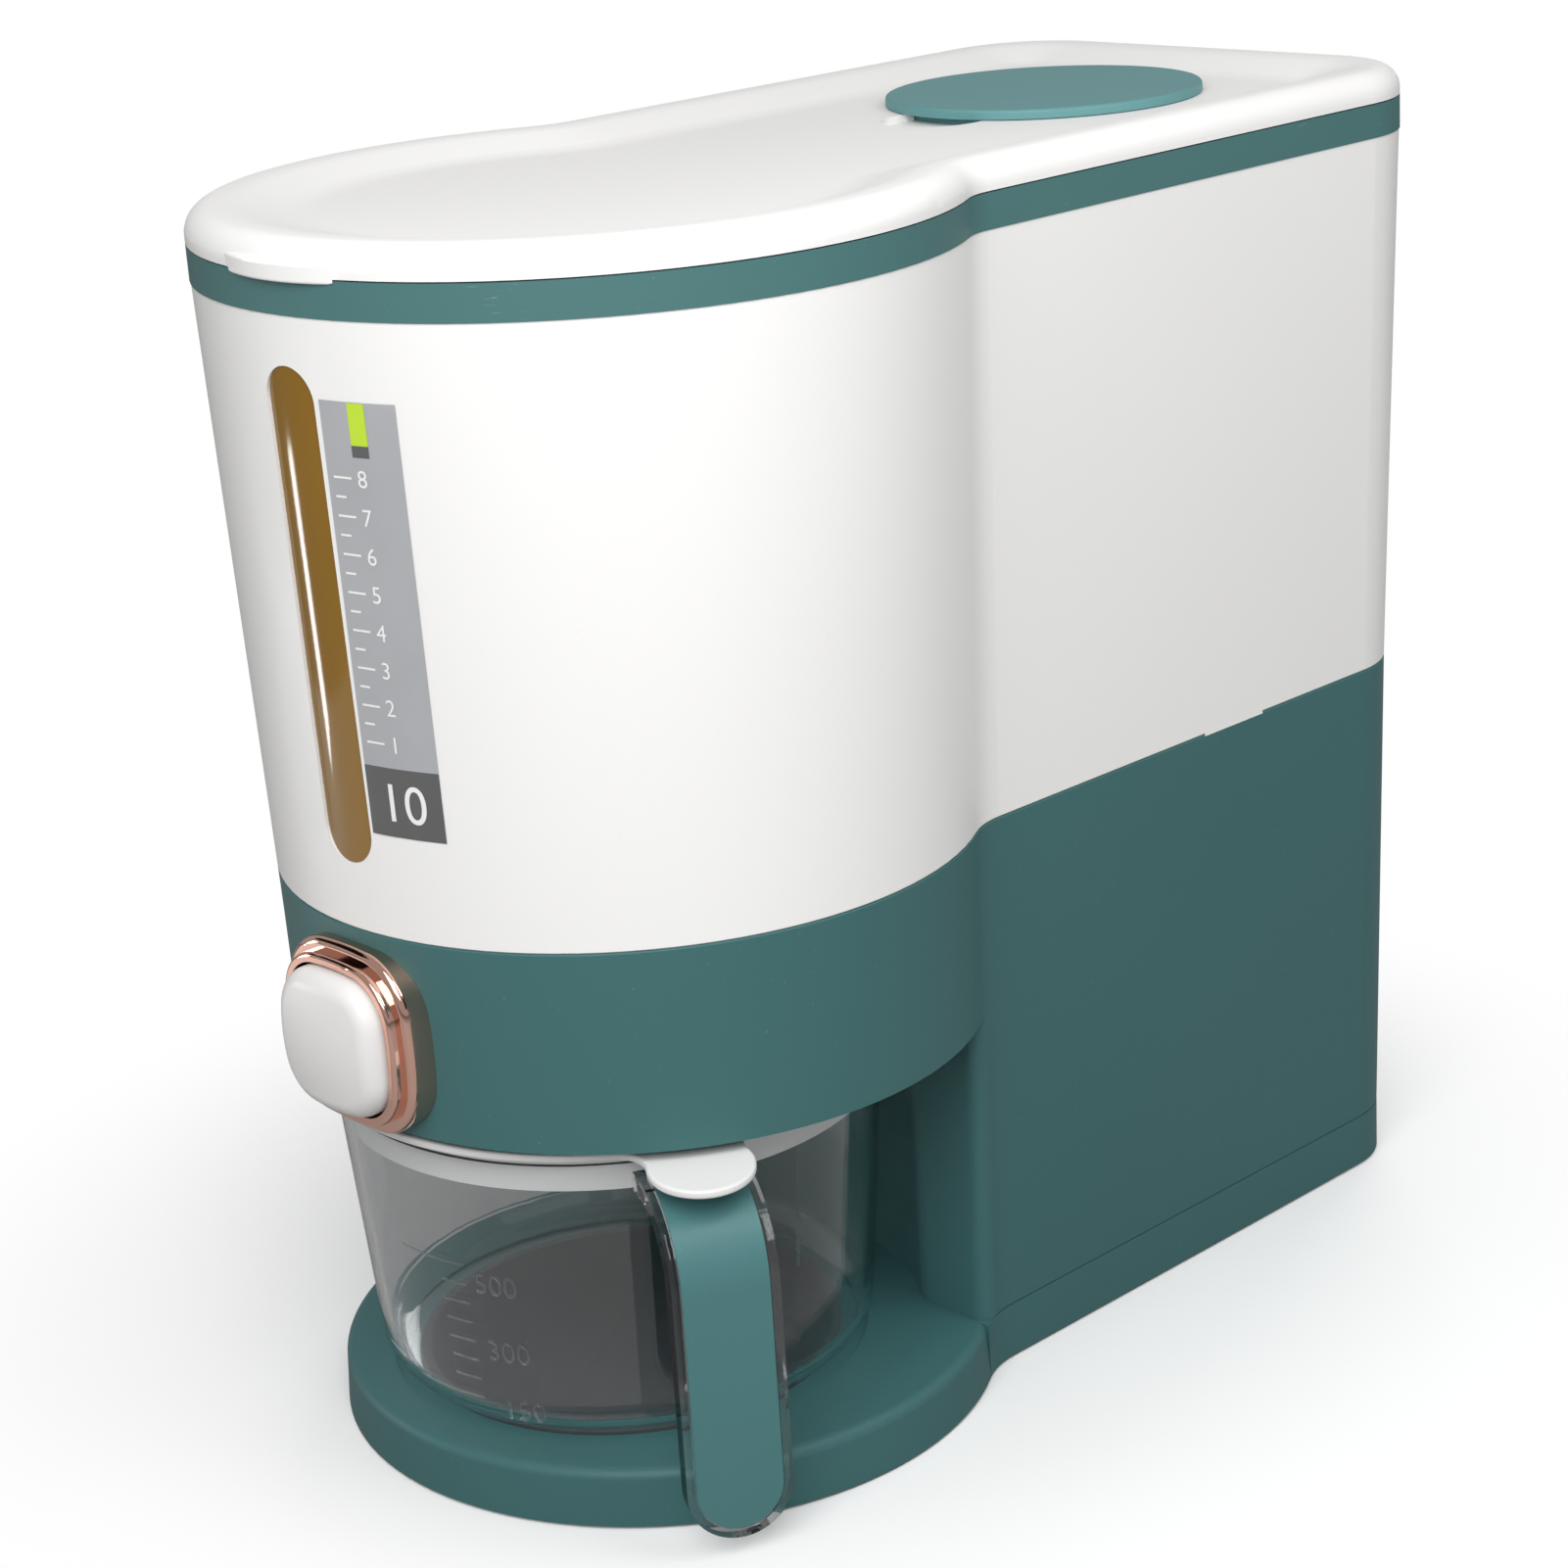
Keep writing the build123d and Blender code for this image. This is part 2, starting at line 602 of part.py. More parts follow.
with BuildPart() as lid:
    extrude(plan_outline(0, lid_z), amount=lid_top_z - lid_z)
    fillet(lid.edges().group_by(Axis.Z)[-1], lid_shoulder)
    with BuildPart(mode=Mode.SUBTRACT) as dish:
        add(drafted(dish_floor_inset, dish_z, dish_rim_inset, lid_top_z))
        fillet(dish.edges().group_by(Axis.Z)[0], dish_floor_round)
    crest = lid.faces().filter_by(Plane.XY).sort_by(Axis.Z)[-1]
    fillet(crest.inner_wires()[0].edges(), dish_rim_round)
    add(lid_hollow.part, mode=Mode.SUBTRACT)
    with BuildPart(mode=Mode.PRIVATE) as plug:
        extrude(plan_outline(plug_inset, plug_z), amount=plug_top_z - plug_z)
        extrude(plan_outline(lip_inset, plug_z), amount=plug_lip)
        extrude(plan_outline(lip_inset, upper_lip_z), amount=plug_lip)
        extrude(plan_outline(plug_inset + plug_wall, plug_z), amount=plug_top_z - plug_z, mode=Mode.SUBTRACT)
    add(plug.part)
    with Locations((0, scoop_y, dish_z - lid_roof - scoop_pad)):
        Cylinder(scoop_radius + lid_wall, scoop_pad + lid_roof / 2,
                 align=(Align.CENTER, Align.CENTER, Align.MIN))
    with Locations((0, cap_y, lid_top_z)):
        Cylinder(basket_radius + fit_gap, 2 * lid_height, mode=Mode.SUBTRACT)
        Cylinder(basket_flange_radius + fit_gap, lid_top_z - basket_flange_z,
                 align=(Align.CENTER, Align.CENTER, Align.MAX), mode=Mode.SUBTRACT)
    with Locations((0, scoop_y, dish_z - scoop_depth)):
        Cylinder(scoop_radius, lid_height, align=(Align.CENTER, Align.CENTER, Align.MIN),
                 mode=Mode.SUBTRACT)
    add(lift_tab.part)
    with Locations(Location((0, hinge_y, hinge_z), (0, 90, 0))):
        Cylinder(hinge_radius, barrel_length)
    with Locations((0, rear_y - lid_wall / 2, hinge_z)):
        Box(barrel_length, hinge_y - rear_y + lid_wall / 2, hinge_radius,
            align=(Align.CENTER, Align.MIN, Align.MIN))
    with Locations(Location((0, hinge_y, hinge_z), (0, 90, 0))):
        Cylinder(hinge_pin_radius + hinge_pin_clearance, barrel_length, mode=Mode.SUBTRACT)

# Seal on the lid's plug
with BuildPart() as lid_seal:
    extrude(plan_outline(mouth_inset + slide_gap, seal_z), amount=seal_height)
    extrude(plan_outline(mouth_inset + slide_gap + seal_depth, seal_z), amount=seal_height,
            mode=Mode.SUBTRACT)

# Vented basket that hangs in the lid
basket_bottom_z = dish_z - basket_depth
slot_reach = basket_radius - basket_wall - basket_slot_margin
slot_count = 2 * int(slot_reach / basket_slot_pitch) + 1
with BuildPart() as desiccant_basket:
    with Locations((0, cap_y, basket_bottom_z)):
        Cylinder(basket_radius, basket_depth, align=(Align.CENTER, Align.CENTER, Align.MIN))
    with Locations((0, cap_y, dish_z)):
        Cylinder(basket_flange_radius, basket_flange, align=(Align.CENTER, Align.CENTER, Align.MAX))
    with Locations((0, cap_y, basket_bottom_z + basket_wall)):
        Cylinder(basket_radius - basket_wall, basket_depth, align=(Align.CENTER, Align.CENTER, Align.MIN),
                 mode=Mode.SUBTRACT)
    for slot_step in range(slot_count):
        slot_x = (slot_step - (slot_count - 1) / 2) * basket_slot_pitch
        slot_length = 2 * sqrt(slot_reach ** 2 - slot_x ** 2) + basket_slot_width
        with Locations((slot_x, cap_y, basket_bottom_z)):
            Box(basket_slot_width, slot_length, 2 * basket_wall + overrun, mode=Mode.SUBTRACT)
    with Locations((0, scoop_y, dish_z - scoop_depth)):
        Cylinder(scoop_radius, lid_height, align=(Align.CENTER, Align.CENTER, Align.MIN),
                 mode=Mode.SUBTRACT)

# Moisture cap: disc over the basket with a skirt inside it
cap_skirt_radius = basket_radius - basket_wall - slide_gap
cap_z = dish_z + slide_gap
with BuildPart() as moisture_cap:
    with Locations((0, cap_y, cap_z)):
        Cylinder(cap_radius, cap_thickness, align=(Align.CENTER, Align.CENTER, Align.MIN))
    fillet(moisture_cap.edges().group_by(Axis.Z)[-1], cap_edge_radius)
    with Locations((0, cap_y, cap_z)):
        Cylinder(cap_skirt_radius, cap_skirt_depth, align=(Align.CENTER, Align.CENTER, Align.MAX))
        Cylinder(cap_skirt_radius - cap_skirt_wall, cap_skirt_depth,
                 align=(Align.CENTER, Align.CENTER, Align.MAX), mode=Mode.SUBTRACT)

# Bezel: stepped ring that sits on the collar, with a sleeve through its wall
bezel_front_y = collar_front_y - bezel_proud
bezel_step_y = bezel_front_y + bezel_step
sleeve_end_y = collar_front_y + lower_wall + bezel_tail
bore_width = cap_width + 2 * button_gap
bore_height = cap_height + 2 * button_gap
with BuildPart() as button_bezel:
    extrude(squircle(front_plane(sleeve_end_y, button_z), bezel_width, bezel_height),
            amount=sleeve_end_y - bezel_step_y)
    fillet(button_bezel.faces().sort_by(Axis.Y)[0].edges(), bezel_edge)
    extrude(squircle(front_plane(bezel_step_y, button_z), bezel_step_width, bezel_step_height),
            amount=bezel_step)
    fillet(button_bezel.faces().sort_by(Axis.Y)[0].edges(), bezel_lip_edge)
    add(drafted(base_inset, base_height, seam_inset, seam_z), mode=Mode.SUBTRACT)
    extrude(squircle(front_plane(sleeve_end_y, button_z), sleeve_width, sleeve_height),
            amount=sleeve_end_y - bezel_step_y)
    extrude(squircle(front_plane(sleeve_end_y, button_z), bore_width, bore_height),
            amount=sleeve_end_y - bezel_front_y, mode=Mode.SUBTRACT)

# Push button: crowned hollow cap with a socket for the gate's stem
cap_front_y = bezel_front_y - cap_proud
cap_back_y = bezel_front_y + cap_tail
cap_roof_y = cap_front_y + 2 * cap_wall
with BuildPart() as button_cap:
    extrude(squircle(front_plane(cap_back_y, button_z), cap_width, cap_height),
            amount=cap_back_y - cap_front_y)
    with Locations((0, cap_front_y + cap_crown_radius, button_z)):
        Sphere(cap_crown_radius, mode=Mode.INTERSECT)
    fillet(button_cap.faces().sort_by(Axis.Y)[0].edges(), cap_edge_round)
    hollow = squircle(front_plane(cap_back_y, button_z), cap_width - 4 * cap_wall, cap_height - 4 * cap_wall)
    extrude(hollow, amount=cap_back_y - cap_roof_y, mode=Mode.SUBTRACT)
    with BuildSketch(front_plane(cap_back_y, button_z)):
        Circle(stem_radius + fit_gap + socket_wall)
        Circle(stem_radius + fit_gap, mode=Mode.SUBTRACT)
    extrude(amount=cap_back_y - cap_roof_y)

# Gate: plate with the outlet window, bracket and stem up to the button
bracket_front_y = collar_front_y + lower_wall + bracket_clear
bracket_rear_y = bracket_front_y + bracket_thickness
gate_front_y = front_y - gate_front_reach
gate_rear_y = outlet_y + outlet_length / 2 + gate_lap
bracket_height = button_z + bracket_rise - gate_z
spring_z = button_z - spring_drop
with BuildPart() as gate_slide:
    with Locations((0, gate_front_y, gate_z)):
        Box(2 * gate_half_width, gate_rear_y - gate_front_y, gate_thickness,
            align=(Align.CENTER, Align.MIN, Align.MIN))
    with Locations((0, bracket_front_y, gate_z)):
        Box(2 * tongue_half_width, gate_front_y - bracket_front_y, gate_thickness,
            align=(Align.CENTER, Align.MIN, Align.MIN))
        Box(2 * bracket_half_width, bracket_thickness, bracket_height,
            align=(Align.CENTER, Align.MIN, Align.MIN))
    with Locations((0, outlet_y - button_travel, gate_z)):
        Box(outlet_width, outlet_length, gate_thickness, align=(Align.CENTER, Align.CENTER, Align.MIN),
            mode=Mode.SUBTRACT)
    with BuildSketch(front_plane(bracket_front_y, button_z)):
        Circle(stem_radius)
    extrude(amount=bracket_front_y - cap_roof_y)
    with BuildSketch(front_plane(bracket_rear_y, spring_z)):
        Circle(spring_pin_radius)
    extrude(amount=-bracket_pin)

# Gate housing: floor with the outlet, rails over the gate's edges, spring bridge and screw ears
rail_inner = gate_half_width + slide_gap
rail_outer = rail_inner + rail_width
housing_front_y = gate_front_y - housing_margin
housing_rear_y = gate_rear_y + button_travel + housing_margin
housing_length = housing_rear_y - housing_front_y
rail_top_z = neck_z + rail_height
bridge_y = front_y - bridge_reach
with BuildPart() as gate_housing:
    with Locations((0, housing_front_y, panel_z)):
        Box(2 * rail_outer, housing_length, rail_top_z - panel_z,
            align=(Align.CENTER, Align.MIN, Align.MIN))
    with Locations((0, housing_front_y, panel_z + housing_floor)):
        Box(2 * rail_inner, housing_length, neck_z - panel_z - housing_floor,
            align=(Align.CENTER, Align.MIN, Align.MIN), mode=Mode.SUBTRACT)
        Box(2 * (rail_inner - rail_lip), housing_length, rail_top_z - panel_z,
            align=(Align.CENTER, Align.MIN, Align.MIN), mode=Mode.SUBTRACT)
    with Locations((0, outlet_y, panel_z)):
        Box(outlet_width, outlet_length, 2 * housing_floor + overrun, mode=Mode.SUBTRACT)
    with Locations((0, bridge_y, neck_z)):
        Box(2 * rail_inner, bridge_thickness, rail_height, align=(Align.CENTER, Align.MIN, Align.MIN))
        Box(2 * bridge_half_width, bridge_thickness, spring_z + spring_radius + spring_wire - neck_z,
            align=(Align.CENTER, Align.MIN, Align.MIN))
    with BuildSketch(front_plane(bridge_y, spring_z)):
        Circle(spring_pin_radius)
    extrude(amount=bridge_pin)
    for ear_x_side, ear_y in ear_places:
        ear_inner = rail_outer - rail_width / 2
        ear_outer = abs(ear_x_side) + ear_reach / 2
        ear_middle = (ear_inner + ear_outer) / 2 * (1 if ear_x_side > 0 else -1)
        with Locations((ear_middle, ear_y, panel_z + boss_height)):
            Box(ear_outer - ear_inner, 2 * ear_half_length, ear_thickness,
                align=(Align.CENTER, Align.CENTER, Align.MIN))
    with Locations([(x, y, panel_z + boss_height) for x, y in ear_places]):
        Cylinder(screw_radius + screw_clearance, ear_thickness, align=(Align.CENTER, Align.CENTER, Align.MIN),
                 mode=Mode.SUBTRACT)


# Round-headed screw with a cross recess; turn is 1 for the head up and -1 for the head down
def screw(place, turn, radius, length, head_radius, head_height):
    up = (Align.CENTER, Align.CENTER, Align.MIN if turn > 0 else Align.MAX)
    down = (Align.CENTER, Align.CENTER, Align.MAX if turn > 0 else Align.MIN)
    with BuildPart() as one:
        with Locations(place):
            Cylinder(head_radius, head_height, align=up)
            Cylinder(radius, length, align=down)
        top = Vector(*place) + Vector(0, 0, turn * head_height)
        with Locations(top):
            Box(screw_slot_width, head_radius, 2 * screw_slot_depth, mode=Mode.SUBTRACT)
            Box(head_radius, screw_slot_width, 2 * screw_slot_depth, mode=Mode.SUBTRACT)
    return one.part


screw_seat_z = panel_z + boss_height + ear_thickness
housing_screw_set = [screw((x, y, screw_seat_z), 1, screw_radius, screw_length, screw_head_radius,
                           screw_head_height) for x, y in ear_places]
base_screw_set = [screw((x, y, base_boss_z), -1, base_screw_radius, base_screw_length, base_screw_head_radius,
                        base_screw_head_height) for x, y in post_places]

# Return spring: a helix along Y from the bracket to the bridge, as biarcs of a quarter turn
spring_start_y = bracket_rear_y + spring_wire / 2 + fit_gap
spring_end_y = bridge_y - spring_wire / 2 - fit_gap
spring_lead = (spring_end_y - spring_start_y) / spring_turns
quarter_turns = 4 * spring_turns


def spring_point(turn):
    angle = 2 * pi * turn
    return Vector(spring_radius * cos(angle), spring_start_y + spring_lead * turn,
                  spring_z + spring_radius * sin(angle))


def spring_tangent(turn):
    angle = 2 * pi * turn
    slope = spring_lead / (2 * pi * spring_radius)
    return Vector(-sin(angle), slope, cos(angle)).normalized()


# Middle point of the two arcs that join two points with given directions
def biarc_middle(start, start_dir, end, end_dir):
    chord = end - start
    both = start_dir + end_dir
    a = both.dot(both) - 4
    b = -2 * chord.dot(both)
    c = chord.dot(chord)
    reach = (-b - sqrt(b * b - 4 * a * c)) / (2 * a)
    if reach < 0:
        reach = (-b + sqrt(b * b - 4 * a * c)) / (2 * a)
    return (start + start_dir * reach + end - end_dir * reach) * 0.5


with BuildPart() as return_spring:
    with BuildLine() as coil:
        for quarter in range(quarter_turns):
            start = spring_point(quarter / 4)
            end = spring_point((quarter + 1) / 4)
            start_dir = spring_tangent(quarter / 4)
            end_dir = spring_tangent((quarter + 1) / 4)
            middle = biarc_middle(start, start_dir, end, end_dir)
            TangentArc(start, middle, tangent=start_dir)
            TangentArc(middle, end, tangent=-end_dir, tangent_from_first=False)
    with BuildSketch(Plane(origin=spring_point(0), z_dir=spring_tangent(0))):
        Circle(spring_wire / 2)
    sweep()
coil_gap = min((spring_point(turn / 40) - spring_point(turn / 40 + 1)).length
               for turn in range(40 * (spring_turns - 1))) - spring_wire
print("return spring: least gap between turns", round(coil_gap, 2), "mm")

# Measuring cup: drafted bowl with a round corner, strap handle with a pocket
cup_axis = Axis((0, cup_y, 0), (0, 0, 1))
cup_plane = front_plane(cup_y, 0)
handle_plane = Plane(origin=(0, cup_y, 0), x_dir=(sin(handle_turn), -cos(handle_turn), 0),
                     z_dir=(-cos(handle_turn), -sin(handle_turn), 0))
strap_face = Plane(origin=(0, cup_y, 0), x_dir=(cos(handle_turn), sin(handle_turn), 0),
                   z_dir=handle_plane.x_dir)
strap_top_z = cup_rim_z - strap_top_drop


# Angled strap in the handle's plane with a round lower end
def strap(width, outer, top, thickness, bend, root, tip):
    with BuildPart() as band:
        with BuildSketch(handle_plane.offset(-width / 2)):
            with BuildLine():
                FilletPolyline((root, top), (outer, top), (outer, tip), radius=bend)
                Line((outer, tip), (outer - thickness, tip))
                FilletPolyline((outer - thickness, tip), (outer - thickness, top - thickness),
                               (root, top - thickness), radius=bend - thickness)
                Line((root, top - thickness), (root, top))
            make_face()
        extrude(amount=width)
        with BuildSketch(strap_face):
            with Locations((0, tip + width / 2)):
                Circle(width / 2)
                Rectangle(width, top - tip, align=(Align.CENTER, Align.MIN))
        extrude(amount=outer + overrun, mode=Mode.INTERSECT)
    return band.part


strap_root = cup_rim_radius - cup_wall / 2
pocket_width = strap_width - 2 * pocket_rim
pocket_root = cup_rim_radius + pocket_start
with BuildPart() as cup:
    with BuildSketch(cup_plane) as bowl:
        with BuildLine():
            Polyline((0, cup_z), (cup_foot_radius, cup_z), (cup_rim_radius, cup_rim_z),
                     (cup_rim_radius - cup_wall, cup_rim_z), (cup_foot_radius - cup_wall, cup_z + cup_wall),
                     (0, cup_z + cup_wall), close=True)
        make_face()
        corners = bowl.vertices().filter_by(lambda v: v.Y < cup_z + cup_wall / 2 and v.X > 0)
        fillet(corners, cup_corner_radius)
        corners = bowl.vertices().filter_by(lambda v: abs(v.Y - cup_z - cup_wall) < fit_gap and v.X > 0)
        fillet(corners, cup_corner_radius - cup_wall)
    revolve(axis=cup_axis)
    add(strap(strap_width, strap_outer, strap_top_z, strap_thickness, strap_bend, strap_root,
              strap_tip_lift))
    add(strap(pocket_width, strap_outer + overrun, strap_top_z + overrun, pocket_depth + overrun,
              strap_bend + overrun, pocket_root, strap_tip_lift + pocket_rim), mode=Mode.SUBTRACT)

# Inlay in the handle's pocket
with BuildPart() as grip_insert:
    add(strap(pocket_width - 2 * insert_inset, strap_outer - insert_recess, strap_top_z - insert_recess,
              pocket_depth - insert_recess - insert_inset, strap_bend - insert_recess,
              pocket_root + insert_inset, strap_tip_lift + pocket_rim + insert_inset))



# Outer edges of a piece of the cup's lid, without the upright ones
def lid_rim_edges(piece):
    outer = piece.edges().filter_by(
        lambda e: all(hypot((e @ share).X, (e @ share).Y - cup_y) > cup_lid_radius - fit_gap
                      for share in (0, 1 / 2, 1)))
    return outer.filter_by(lambda e: e.geom_type != GeomType.LINE)


# Cup lid: ring that a seat holds above the cup's rim, a skirt inside and a thumb tab over the handle
cup_lid_z = cup_rim_z + cup_lid_gap
flange_z = cup_lid_z + cup_lid_seat
cup_lid_top_z = flange_z + cup_lid_flange
seat_radius = cup_rim_radius - cup_lid_seat_inset
skirt_radius = cup_rim_radius - cup_wall - slide_gap
skirt_z = cup_lid_z - cup_lid_skirt_depth
skirt_foot_radius = skirt_radius - cup_lid_skirt_depth * cup_draft / cup_height
skirt_inner_radius = skirt_foot_radius - cup_lid_skirt_wall
thumb_tip_z = flange_z - thumb_drop
with BuildPart() as cup_lid:
    with BuildSketch(cup_plane):
        with BuildLine():
            Polyline((cup_lid_opening, cup_lid_top_z), (cup_lid_radius, cup_lid_top_z),
                     (cup_lid_radius, flange_z), (seat_radius, flange_z), (seat_radius, cup_lid_z),
                     (skirt_radius, cup_lid_z), (skirt_foot_radius, skirt_z), (skirt_inner_radius, skirt_z),
                     (skirt_inner_radius, flange_z), (cup_lid_opening, flange_z), close=True)
        make_face()
    revolve(axis=cup_axis)
    fillet(lid_rim_edges(cup_lid), cup_lid_edge)
    with BuildPart(mode=Mode.PRIVATE) as thumb_tab:
        with BuildSketch(handle_plane):
            with BuildLine():
                FilletPolyline((skirt_radius, cup_lid_top_z), (cup_lid_radius, cup_lid_top_z),
                               (thumb_reach, thumb_tip_z + cup_lid_flange), radius=thumb_bend)
                Line((thumb_reach, thumb_tip_z + cup_lid_flange), (thumb_reach, thumb_tip_z))
                FilletPolyline((thumb_reach, thumb_tip_z), (cup_lid_radius, flange_z),
                               (skirt_radius, flange_z), radius=thumb_bend)
                Line((skirt_radius, flange_z), (skirt_radius, cup_lid_top_z))
            make_face()
        extrude(amount=thumb_reach, both=True)
        with BuildSketch(Plane.XY.offset(thumb_tip_z)) as tab_plan:
            with Locations((0, cup_y)):
                Circle(cup_lid_radius)
            with Locations(handle_plane.from_local_coords((thumb_reach - thumb_radius, 0, 0))):
                Circle(thumb_radius)
            fillet(tab_plan.vertices(), thumb_root_radius)
        extrude(amount=cup_lid_top_z - thumb_tip_z, mode=Mode.INTERSECT)
        fillet(lid_rim_edges(thumb_tab), cup_lid_edge)
    add(thumb_tab.part)

pieces = {
    "base": base.part,
    "cup_mat": cup_mat.part,
    "lower_body": lower_body.part,
    "hopper": hopper.part,
    "sight_window": sight_window.part,
    "rim_band": rim_band.part,
    "lid": lid.part,
    "lid_seal": lid_seal.part,
    "hinge_pin": hinge_pin.part,
    "moisture_cap": moisture_cap.part,
    "desiccant_basket": desiccant_basket.part,
    "button_bezel": button_bezel.part,
    "button_cap": button_cap.part,
    "gate_slide": gate_slide.part,
    "gate_housing": gate_housing.part,
    "return_spring": return_spring.part,
    "housing_screws": Compound(children=housing_screw_set),
    "base_screws": Compound(children=base_screw_set),
    "cup": cup.part,
    "cup_lid": cup_lid.part,
    "grip_insert": grip_insert.part,
}
for number, foot in enumerate(feet, start=1):
    pieces[f"foot_{number}"] = foot.part

os.makedirs("parts", exist_ok=True)
for name, piece in pieces.items():
    piece.label = name
    export_step(piece, f"parts/{name}.step")
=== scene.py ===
import math

import bpy
from mathutils import Matrix, Vector


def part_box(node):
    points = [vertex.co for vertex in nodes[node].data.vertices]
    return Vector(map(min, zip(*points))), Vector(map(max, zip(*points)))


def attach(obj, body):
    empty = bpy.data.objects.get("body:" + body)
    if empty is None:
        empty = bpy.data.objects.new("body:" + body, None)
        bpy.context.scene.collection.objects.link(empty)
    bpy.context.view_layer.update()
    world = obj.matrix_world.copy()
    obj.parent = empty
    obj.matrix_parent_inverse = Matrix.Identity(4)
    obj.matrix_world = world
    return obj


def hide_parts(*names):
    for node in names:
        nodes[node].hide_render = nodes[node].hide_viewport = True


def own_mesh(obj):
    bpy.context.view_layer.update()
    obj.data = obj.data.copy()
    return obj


# rice dispenser, dressed on its solids; metres, front towards -Y
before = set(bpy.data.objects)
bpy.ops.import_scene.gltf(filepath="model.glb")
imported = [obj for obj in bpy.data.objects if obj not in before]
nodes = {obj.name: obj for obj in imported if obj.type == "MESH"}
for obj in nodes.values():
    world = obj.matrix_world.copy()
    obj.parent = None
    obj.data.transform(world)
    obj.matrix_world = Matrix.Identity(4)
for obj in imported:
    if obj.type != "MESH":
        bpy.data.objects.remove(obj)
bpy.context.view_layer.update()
scene = bpy.context.scene
print("stage 1: solids loaded,", len(nodes), "nodes")

# hopper and cup surfaces that the printed and raised marks follow
body = {"frontY": -0.08015, "rimRadius": 0.105, "rimZ": 0.344, "seamZ": 0.1697, "draw": 0.0054}
cupForm = {"axisY": -0.09515, "footRadius": 0.0712, "rimRadius": 0.0782, "footZ": 0.0173, "height": 0.088}


def put(tree, kind, settings=None, sockets=None):
    node = tree.nodes.new(kind)
    for name, value in (settings or {}).items():
        setattr(node, name, value)
    for name, value in (sockets or {}).items():
        node.inputs[name].default_value = value
    return node


def startMaterial(name, sockets):
    material = bpy.data.materials.new(name)
    material.use_nodes = True
    tree = material.node_tree
    tree.nodes.clear()
    end = put(tree, "ShaderNodeOutputMaterial")
    shader = put(tree, "ShaderNodeBsdfPrincipled", None, sockets)
    tree.links.new(shader.outputs["BSDF"], end.inputs["Surface"])
    return material, tree, shader


def placeGroup(tree, group, sockets):
    return put(tree, "ShaderNodeGroup", {"node_tree": group}, sockets)


def newPiece(name, mesh, bodyName, material=None):
    piece = bpy.data.objects.new(name, mesh)
    scene.collection.objects.link(piece)
    if material:
        mesh.materials.clear()
        mesh.materials.append(material)
    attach(piece, bodyName)
    return piece


def dress(nodeNames, material):
    for nodeName in nodeNames:
        materials = nodes[nodeName].data.materials
        materials.clear()
        materials.append(material)


def buildMouldGrain():
    # spark-eroded mould skin: fine grain height, slow tone drift, rare pale flecks
    group = bpy.data.node_groups.new("mouldGrain", "ShaderNodeTree")
    face = group.interface
    face.new_socket("Grain Scale", in_out="INPUT", socket_type="NodeSocketFloat").default_value = 1500
    face.new_socket("Drift Scale", in_out="INPUT", socket_type="NodeSocketFloat").default_value = 9
    for name in ("Grain", "Drift", "Fleck"):
        face.new_socket(name, in_out="OUTPUT", socket_type="NodeSocketFloat")
    start, end = put(group, "NodeGroupInput"), put(group, "NodeGroupOutput")
    place = put(group, "ShaderNodeTexCoord")
    grain = put(group, "ShaderNodeTexNoise", None, {"Detail": 3.0, "Roughness": 0.65})
    drift = put(group, "ShaderNodeTexNoise", None, {"Detail": 2.0, "Roughness": 0.5})
    fleck = put(group, "ShaderNodeTexNoise", None, {"Scale": 900.0, "Detail": 1.0})
    cut = put(group, "ShaderNodeMapRange", None, {"From Min": 0.74, "From Max": 0.8})
    link = group.links.new
    for noise in (grain, drift, fleck):
        link(place.outputs["Object"], noise.inputs["Vector"])
    link(start.outputs["Grain Scale"], grain.inputs["Scale"])
    link(start.outputs["Drift Scale"], drift.inputs["Scale"])
    link(fleck.outputs["Fac"], cut.inputs["Value"])
    link(grain.outputs["Fac"], end.inputs["Grain"])
    link(drift.outputs["Fac"], end.inputs["Drift"])
    link(cut.outputs["Result"], end.inputs["Fleck"])
    return group


def buildScuffMarks():
    # short pale scratches that keep to a few patches
    group = bpy.data.node_groups.new("scuffMarks", "ShaderNodeTree")
    face = group.interface
    stretch = face.new_socket("Stretch", in_out="INPUT", socket_type="NodeSocketVector")
    stretch.default_value = (300, 300, 1900)
    face.new_socket("Patch Scale", in_out="INPUT", socket_type="NodeSocketFloat").default_value = 22
    face.new_socket("Scuff", in_out="OUTPUT", socket_type="NodeSocketFloat")
    start, end = put(group, "NodeGroupInput"), put(group, "NodeGroupOutput")
    place = put(group, "ShaderNodeTexCoord")
    pull = put(group, "ShaderNodeVectorMath", {"operation": "MULTIPLY"})
    lines = put(group, "ShaderNodeTexNoise", None, {"Scale": 1.0, "Detail": 2.0, "Distortion": 0.4})
    patch = put(group, "ShaderNodeTexNoise", None, {"Detail": 1.0})
    lineCut = put(group, "ShaderNodeMapRange", None, {"From Min": 0.66, "From Max": 0.74})
    patchCut = put(group, "ShaderNodeMapRange", None, {"From Min": 0.62, "From Max": 0.72})
    both = put(group, "ShaderNodeMath", {"operation": "MULTIPLY"})
    link = group.links.new
    link(place.outputs["Object"], pull.inputs[0])
    link(start.outputs["Stretch"], pull.inputs[1])
    link(pull.outputs["Vector"], lines.inputs["Vector"])
    link(place.outputs["Object"], patch.inputs["Vector"])
    link(start.outputs["Patch Scale"], patch.inputs["Scale"])
    link(lines.outputs["Fac"], lineCut.inputs["Value"])
    link(patch.outputs["Fac"], patchCut.inputs["Value"])
    link(lineCut.outputs["Result"], both.inputs[0])
    link(patchCut.outputs["Result"], both.inputs[1])
    link(both.outputs["Value"], end.inputs["Scuff"])
    return group


mouldGrain = buildMouldGrain()
scuffMarks = buildScuffMarks()


